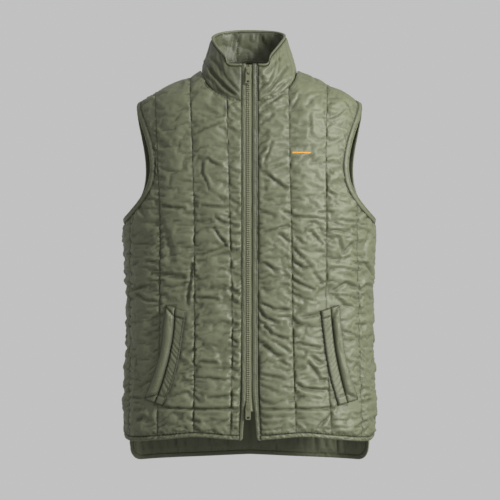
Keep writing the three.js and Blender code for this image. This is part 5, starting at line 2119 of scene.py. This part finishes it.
@dataclass
class Pocket:
    """A slanted pocket: a padded welt along its outer side and a flat facing."""

    side: Side
    plan: PocketPlan
    welt_height: float = 7.5
    facing_height: float = 2.6
    tab_height: float = 4.2
    mitre: float = 15.0
    length: float = 168.0
    welt_wide: float = 16.0
    facing_wide: float = 17.0

    @property
    def label(self) -> str:
        """The side's word in the names of the nodes."""
        return "right" if self.side is Side.RIGHT else "left"

    def _grid(self, down: Array, out: Array, lift: Array) -> Array:
        """Points of the pocket at shares down and out, standing on the panel.

        Args:
            down: share of the way down.
            out: share of the way out.
            lift: how far it stands off.

        Returns:
            The points, on the pocket's own side.
        """
        x, z = self.plan.place(down, out)
        base = self.plan.base + self.plan.clear
        points = BODY.lifted(-1, angle_signed(x, z), z, base + lift)
        return points * np.array([self.side.value, 1, 1])

    def welt(self, finish: Material) -> Object:
        """The padded roll on the outer side.

        Args:
            finish: its material.

        Returns:
            The dressed object.
        """
        down = np.linspace(0, 1, 84)[:, None]
        across = np.concatenate([[0, 0.02, 0.06], np.linspace(0.11, 0.9, 14), [0.95, 0.98, 1.0]])[None, :]
        start = self.plan.middle_share(down) + 0.012
        out = mix(start, 1, across)
        length = down * self.length
        ends = np.minimum(length, self.length - length)
        rim = 1 - (1 - np.clip(ends / 4, 0, 1)) ** 3
        beyond = ends - self.mitre + 13 * across
        crown = (1 - np.abs(2 * across - 1) ** 2.6) * (1 - (1 - np.clip(beyond / 7, 0, 1)) ** 2)
        sewn = np.exp(-3 * across) + 0.6 * np.exp(-3 * (1 - across))
        folds = pleats((length - 9 * across) / 5.2, 501 + self.side.value)
        broad = ridged((length + 8 * across) / 24, across * 1.5, 511 + self.side.value)
        tucked = 0.75 * sewn * noise(length / 11, across, 541) + 0.3 * noise(length / 15, across * 3, 531)
        lift = 1.4 + (self.welt_height - 1.4) * crown + 2.2 * tucked * folds * crown + 1.6 * broad * crown
        tab = 1.2 + (self.tab_height - 1.2) * rim * (1 - np.abs(2 * across - 1) ** 6)
        cut = bump(beyond, 1.5)
        lift = np.where(beyond > 0, lift, tab)
        lift = lift - 0.55 * (lift - 1.2) * cut
        outer = self._grid(down, out, np.maximum(lift, 1.2))
        name = f"pocket_welt_{self.label}"
        piece = wall(f"{name}_cloth", self._grid(down, out, 0 * out), outer)
        # Darker along its sewn edges, partly as painted shade, with painted shade in the mitre cut and in the
        # valleys of its pleats.
        edge = np.minimum(ends, np.minimum(1 - across, across + (beyond < 0)) * self.welt_wide)
        dark = np.maximum.reduce([bump(edge, 1.8), cut, np.clip(-1.8 * folds * tucked, 0, 0.8)])
        set_seam_and_shade(piece, dark)
        dress(piece, finish, "trim_cloth", name)
        return piece

    def facing(self, finish: Material) -> Object:
        """The flat side, with slanted puckers between its mitred ends.

        Args:
            finish: its material.

        Returns:
            The dressed object.
        """
        down = np.linspace(0, 1, 96)[:, None]
        across = np.concatenate([[0, 0.03, 0.08], np.linspace(0.14, 0.88, 10), [0.94, 1.0]])[None, :]
        out = across * (self.plan.middle_share(down) - 0.012)
        length = down * self.length
        ends = np.minimum(length, self.length - length)
        ditch = bump(ends - self.mitre, 1.6) + 0 * across
        on_tab = (ends < self.mitre) + 0 * across
        rim = 1 - (1 - np.clip(ends / 4, 0, 1)) ** 3
        edges = 1 - (1 - np.clip(np.minimum(across, 1 - across) * self.facing_wide / 4, 0, 1)) ** 2
        bowed = length + 13 * across**1.4
        strength = 0.25 + 1.1 * noise(bowed / 13, across * 0.8, 551 + self.side.value)
        fold = strength * pleats(bowed / 8.5 + 1.1 * noise(bowed / 27, 0 * bowed, 561), 521 + self.side.value)
        flat = np.where(on_tab > 0, self.tab_height, self.facing_height + 2.0 * fold)
        lift = 0.9 + (flat - 0.9) * rim * edges * (1 - 0.75 * np.clip(ditch, 0, 1))
        outer = self._grid(down, out, np.maximum(lift, 0.7))
        name = f"pocket_facing_{self.label}"
        piece = wall(f"{name}_cloth", self._grid(down, out, 0 * out), outer)
        # Darker along its sewn edges, with painted shade in the mitre ditches and in the valleys of its
        # puckers.
        edge = np.minimum(ends, np.minimum(across * 11, (1 - across) * self.facing_wide + 9 * on_tab))
        creased = np.clip(-1.5 * fold - 0.25, 0, 0.8) * (1 - on_tab)
        dark = np.maximum.reduce([bump(edge, 2.0), ditch, creased])
        set_seam_and_shade(piece, dark)
        dress(piece, finish, "trim_cloth", name)
        return piece

    def stitches(self) -> list[Pair]:
        """The sewing along the pocket's long edges.

        Returns:
            Two lines, each as points and outward directions.
        """
        down = np.linspace(0.02, 0.98, 120)
        runs = []
        for out, lift in ((0.045, 2.7), (0.975, 2.4)):
            points = self._grid(down, 0 * down + out, 0 * down + lift)
            runs.append((points, unit(points - self._grid(down, 0 * down + out, 0 * down))))
        return runs


RIGHT_FRONT_LINES = (
    (14, 13.4, 13.4, 13.4, 18), (39, 36, 32.5, 29.3, 32), (101.7, 97, 93.4, 93.2, 95.6),
    (163, 157.5, 152, 153, 157.4), (206, 205, 204, 205, 208),
)
LEFT_FRONT_LINES = (
    (14.8, 14.8, 14.8, 15, 19.5), (67.6, 68.5, 71.5, 73.5, 79.6), (134, 131, 131, 130.5, 140.5),
    (186, 184.5, 184.6, 188, 193),
)
BACK_LINES = (
    (-35, -33.5, -32, -31, -34), (35, 33.5, 32, 31, 34), (100, 97, 95, 94, 97), (160, 156, 153, 153, 157),
    (203, 203, 203, 202.5, 202.5),
)


class Vest:
    """The whole vest."""

    def __init__(self) -> None:
        """Lays out the panels and makes the materials."""
        fine, coarse = 2.6, 3.4
        self.right = HalfPanel(Face.FRONT, RIGHT_FRONT_LINES, fine, 100, RIGHT_POCKET, -1, RIGHT_CREASES)
        self.left = HalfPanel(Face.FRONT, LEFT_FRONT_LINES, fine, 200, LEFT_POCKET, 1, LEFT_CREASES)
        self.back_left = HalfPanel(Face.BACK, BACK_LINES, coarse, 300)
        self.back_right = HalfPanel(Face.BACK, BACK_LINES, coarse, 340, mirror=-1)
        self.opening = FrontOpening()
        self.collar = Collar()
        self.collar.lay_out(self.right, self.left, self.back_left)
        self.pockets = (Pocket(Side.RIGHT, RIGHT_POCKET), Pocket(Side.LEFT, LEFT_POCKET))
        self.shell, self.trim, self.thread = SHELL.make(), BINDING.make(), THREAD.make()
        self.runs = RunOfPieces()

    def panels(self) -> None:
        """The two fronts and the back."""
        for name, panel in (("front_right", self.right), ("front_left", self.left)):
            inner, outer, seam, under = panel.grids()
            piece = wall(f"{name}_cloth", inner, outer)
            set_seam_and_shade(piece, np.stack([seam, under]))
            dress(piece, self.shell, "shell_cloth", name)
        halves = [panel.grids() for panel in (self.back_right, self.back_left)]
        right, left = ([np.array(grid) for grid in half] for half in halves)
        joined = [np.concatenate([r[:, :0:-1], l], axis=1) for r, l in zip(right, left)]
        for k in (0, 1):
            column = right[0].shape[1] - 1
            joined[k][:, column] = (right[k][:, 0] + left[k][:, 0]) / 2
        piece = wall("back_cloth", joined[0], joined[1])
        set_seam_and_shade(piece, np.stack(joined[2:]))
        dress(piece, self.shell, "shell_cloth", "back")

    def bands(self) -> None:
        """The bindings of the hem and the armholes."""
        hem, arm = BandSection(), BandSection(pucker=0.55, period=6.0)
        stations = {
            "hem_binding_right": (hem_station(self.right).spaced(1.7), MIRROR_X),
            "hem_binding_left": (hem_station(self.left).spaced(1.7), np.ones(3)),
        }
        back = hem_station(self.back_left)
        rows = (back.sign, back.edge_angle, back.edge_z, back.stitch_angle, back.stitch_z)
        mirrored = (1, -1, 1, -1, 1)
        whole = Station(*(np.concatenate([way * row[:0:-1], row]) for way, row in zip(mirrored, rows)))
        stations["hem_binding_back"] = (whole.spaced(1.9), np.ones(3))
        runs = []
        for seed, (name, (station, flip)) in enumerate(stations.items()):
            self._band(name, station, hem, 600 + 7 * seed, flip)
            runs.append(tuple(part * flip for part in station.stitches(0.9, 2.6)))
        points, up = whole.spaced(1.9).stitches(0.86, -0.8)
        runs.append((points, -up))
        ring = armhole_station().spaced(2.4)
        sides = (("armhole_binding_right", MIRROR_X), ("armhole_binding_left", np.ones(3)))
        for seed, (name, flip) in enumerate(sides):
            self._band(name, ring, arm, 640 + 9 * seed, flip, closed=True)
            for share, lift in ((0.9, 2.6), (0.35, 3.9)):
                runs.append(tuple(part * flip for part in ring.stitches(share, lift)))
        piece = self.runs.lay("stitches_bindings", runs, self.thread, 3.6, 2.6, 0.7, 0.6)
        dress(piece, self.thread, "trim_cloth")

    def _band(
        self, name: str, station: Station, section: BandSection, seed: int, flip: Array, closed: bool = False
    ) -> None:
        """Makes one binding from its cross-sections.

        Args:
            name: the node that it stands for.
            station: its places.
            section: its closed section.
            seed: chooses its puckers.
            flip: turns it to the other side, where it is mirrored.
            closed: whether it is a ring.
        """
        rings, lifts = station.rings(section, seed)
        count = len(rings) - 1 if closed else len(rings)
        piece = tube(f"{name}_cloth", rings[:count] * flip, closed)
        shares = section.shares()
        # Darker along the stitching, with painted shade in the hollows of the puckers.
        near = bump(shares - 0.93, 0.09) + hollows(lifts - lifts.mean(axis=0), 2, 0.7)
        set_seam_and_shade(piece, (near * (np.arange(len(shares)) < len(section.outer)))[:count])
        dress(piece, self.trim, "trim_cloth", name)

    def quilting(self) -> None:
        """The stitches of the quilting lines."""
        fronts = [panel.run(k) for panel in (self.right, self.left) for k in range(1, len(panel.curves))]
        behind = [panel.run(k) for panel in (self.back_left, self.back_right) for k in range(1, 5)]
        for name, runs in (("stitches_front", fronts), ("stitches_back", behind)):
            piece = self.runs.lay(name, runs, self.thread, 4.4, 3.0, 0.55, 0.5)
            dress(piece, self.thread, "shell_cloth")

    def neck_and_front(self) -> None:
        """The collar, the zip and the bands beside it."""
        self.collar.shell(self.shell)
        self.collar.edging(self.trim)
        self.opening.band("front_band_right", Side.RIGHT, 3.1, self.trim)
        self.opening.band("front_band_left", Side.LEFT, 3.2, self.trim)
        tape, coil = TAPE.make(), COIL.make()
        x = self.opening.zip_x
        self.opening.tape("zip_tape_right", "front_band_right", x - 0.3, x - 11.0, tape)
        self.opening.tape("zip_tape_left", "front_band_left", x + 0.3, x + 11.0, tape)
        self.opening.chain(self.runs, coil)
        runs = [
            self.opening.stitch_run(Side.RIGHT, 0.93, 2.2), self.collar.stitches(0.985, 2.4),
            *(self.opening.stitch_run(Side.LEFT, row, 3.4) for row in self.opening.rows_left),
            self.collar.stitches(0.97, -0.2), self.collar.upright(-18.8),
        ]
        piece = self.runs.lay("stitches_opening", runs, self.thread, 4.2, 2.8, 1.1, 0.8)
        dress(piece, self.thread, "trim_cloth")

    def pocket_pieces(self) -> None:
        """Both pockets with their sewing."""
        runs = []
        for pocket in self.pockets:
            pocket.welt(self.trim)
            pocket.facing(self.trim)
            runs += pocket.stitches()
        piece = self.runs.lay("stitches_pockets", runs, self.thread, 3.5, 3.2, 1.4, 1.0)
        dress(piece, self.thread, "trim_cloth")

    def embroidery(self) -> None:
        """The plain satin-stitch bar on the chest."""
        gold = GOLD.make()
        piece = self.runs.lay("satin_bar", [CHEST_BAR.run()], gold, 0.75, CHEST_BAR.tall, 0.9, 0.8, turn=1.45)
        dress(piece, gold, "trim_cloth")

    def metal(self) -> None:
        """The sliders and pulls keep their solids, with a better finish."""
        lacquer = LACQUER.make()
        for node in ("slider_top", "slider_bottom", "pull_top", "pull_bottom"):
            for slot in bpy.data.objects[node].material_slots:
                slot.material = lacquer


@dataclass(frozen=True)
class Studio:
    """The camera, the lights and the plain room."""

    distance: float = 4.0
    eye: tuple[float, float] = (0.0009, -0.320)
    lens: float = 163.6
    floor_z: float = -1.45

    def camera(self) -> None:
        """A level camera, looking along +Y."""
        data = bpy.data.cameras.new("camera")
        data.lens, data.sensor_width = self.lens, 36
        item = bpy.data.objects.new("camera", data)
        item.location = (self.eye[0], -self.distance, self.eye[1])
        item.rotation_euler = (math.pi / 2, 0, 0)
        bpy.context.scene.collection.objects.link(item)
        bpy.context.scene.camera = item

    def lamp(
        self, name: str, place: tuple[float, float, float], aim: tuple[float, float, float],
        size: tuple[float, float], power: float, spread: float = 180.0,
    ) -> None:
        """A soft oblong light.

        Args:
            name: the light's name.
            place: where it stands, in metres.
            aim: the point that it faces.
            size: its width and height.
            power: in watts.
            spread: how wide it shines, in degrees.
        """
        data = bpy.data.lights.new(name, "AREA")
        data.shape, data.energy, data.spread = "RECTANGLE", power, math.radians(spread)
        data.size, data.size_y = size
        item = bpy.data.objects.new(name, data)
        item.location = place
        item.rotation_euler = (Vector(aim) - Vector(place)).to_track_quat("-Z", "Y").to_euler()
        bpy.context.scene.collection.objects.link(item)

    def room(self) -> None:
        """The floor, and an even grey all round."""
        corners = np.array([(-2500, -2500, 0), (2500, -2500, 0), (2500, 2500, 0), (-2500, 2500, 0)], float)
        corners[:, 2] = self.floor_z * 1000
        floor = write_mesh("floor", corners, [(0, 1, 2, 3)], False)
        paint = bpy.data.materials.new("matt_floor_paint")
        paint.use_nodes = True
        paint.node_tree.nodes["Principled BSDF"].inputs["Base Color"].default_value = to_linear("#c4c4c4")
        paint.node_tree.nodes["Principled BSDF"].inputs["Roughness"].default_value = 0.9
        floor.data.materials.append(paint)
        world = bpy.data.worlds.new("studio")
        world.use_nodes = True
        world.node_tree.nodes["Background"].inputs["Color"].default_value = to_linear("#c1c1c1")
        bpy.context.scene.world = world
        bpy.context.scene.view_settings.view_transform = "Standard"

    def build(self) -> None:
        """Sets up the camera, the lights and the room."""
        self.camera()
        self.lamp("key", (2.0, -1.75, 0.55), (0.16, -0.05, -0.32), (0.4, 1.7), 8, 34)
        self.lamp("fill", (-1.2, -3.2, 0.8), (0, 0, -0.3), (2.2, 2.2), 3)
        self.room()


def main() -> None:
    """Builds the studio and the vest."""
    logging.basicConfig(level=logging.INFO, format="%(message)s")
    Studio().build()
    vest = Vest()
    vest.panels()
    vest.bands()
    vest.neck_and_front()
    vest.pocket_pieces()
    vest.quilting()
    vest.embroidery()
    vest.metal()


if __name__ == "__main__":
    main()
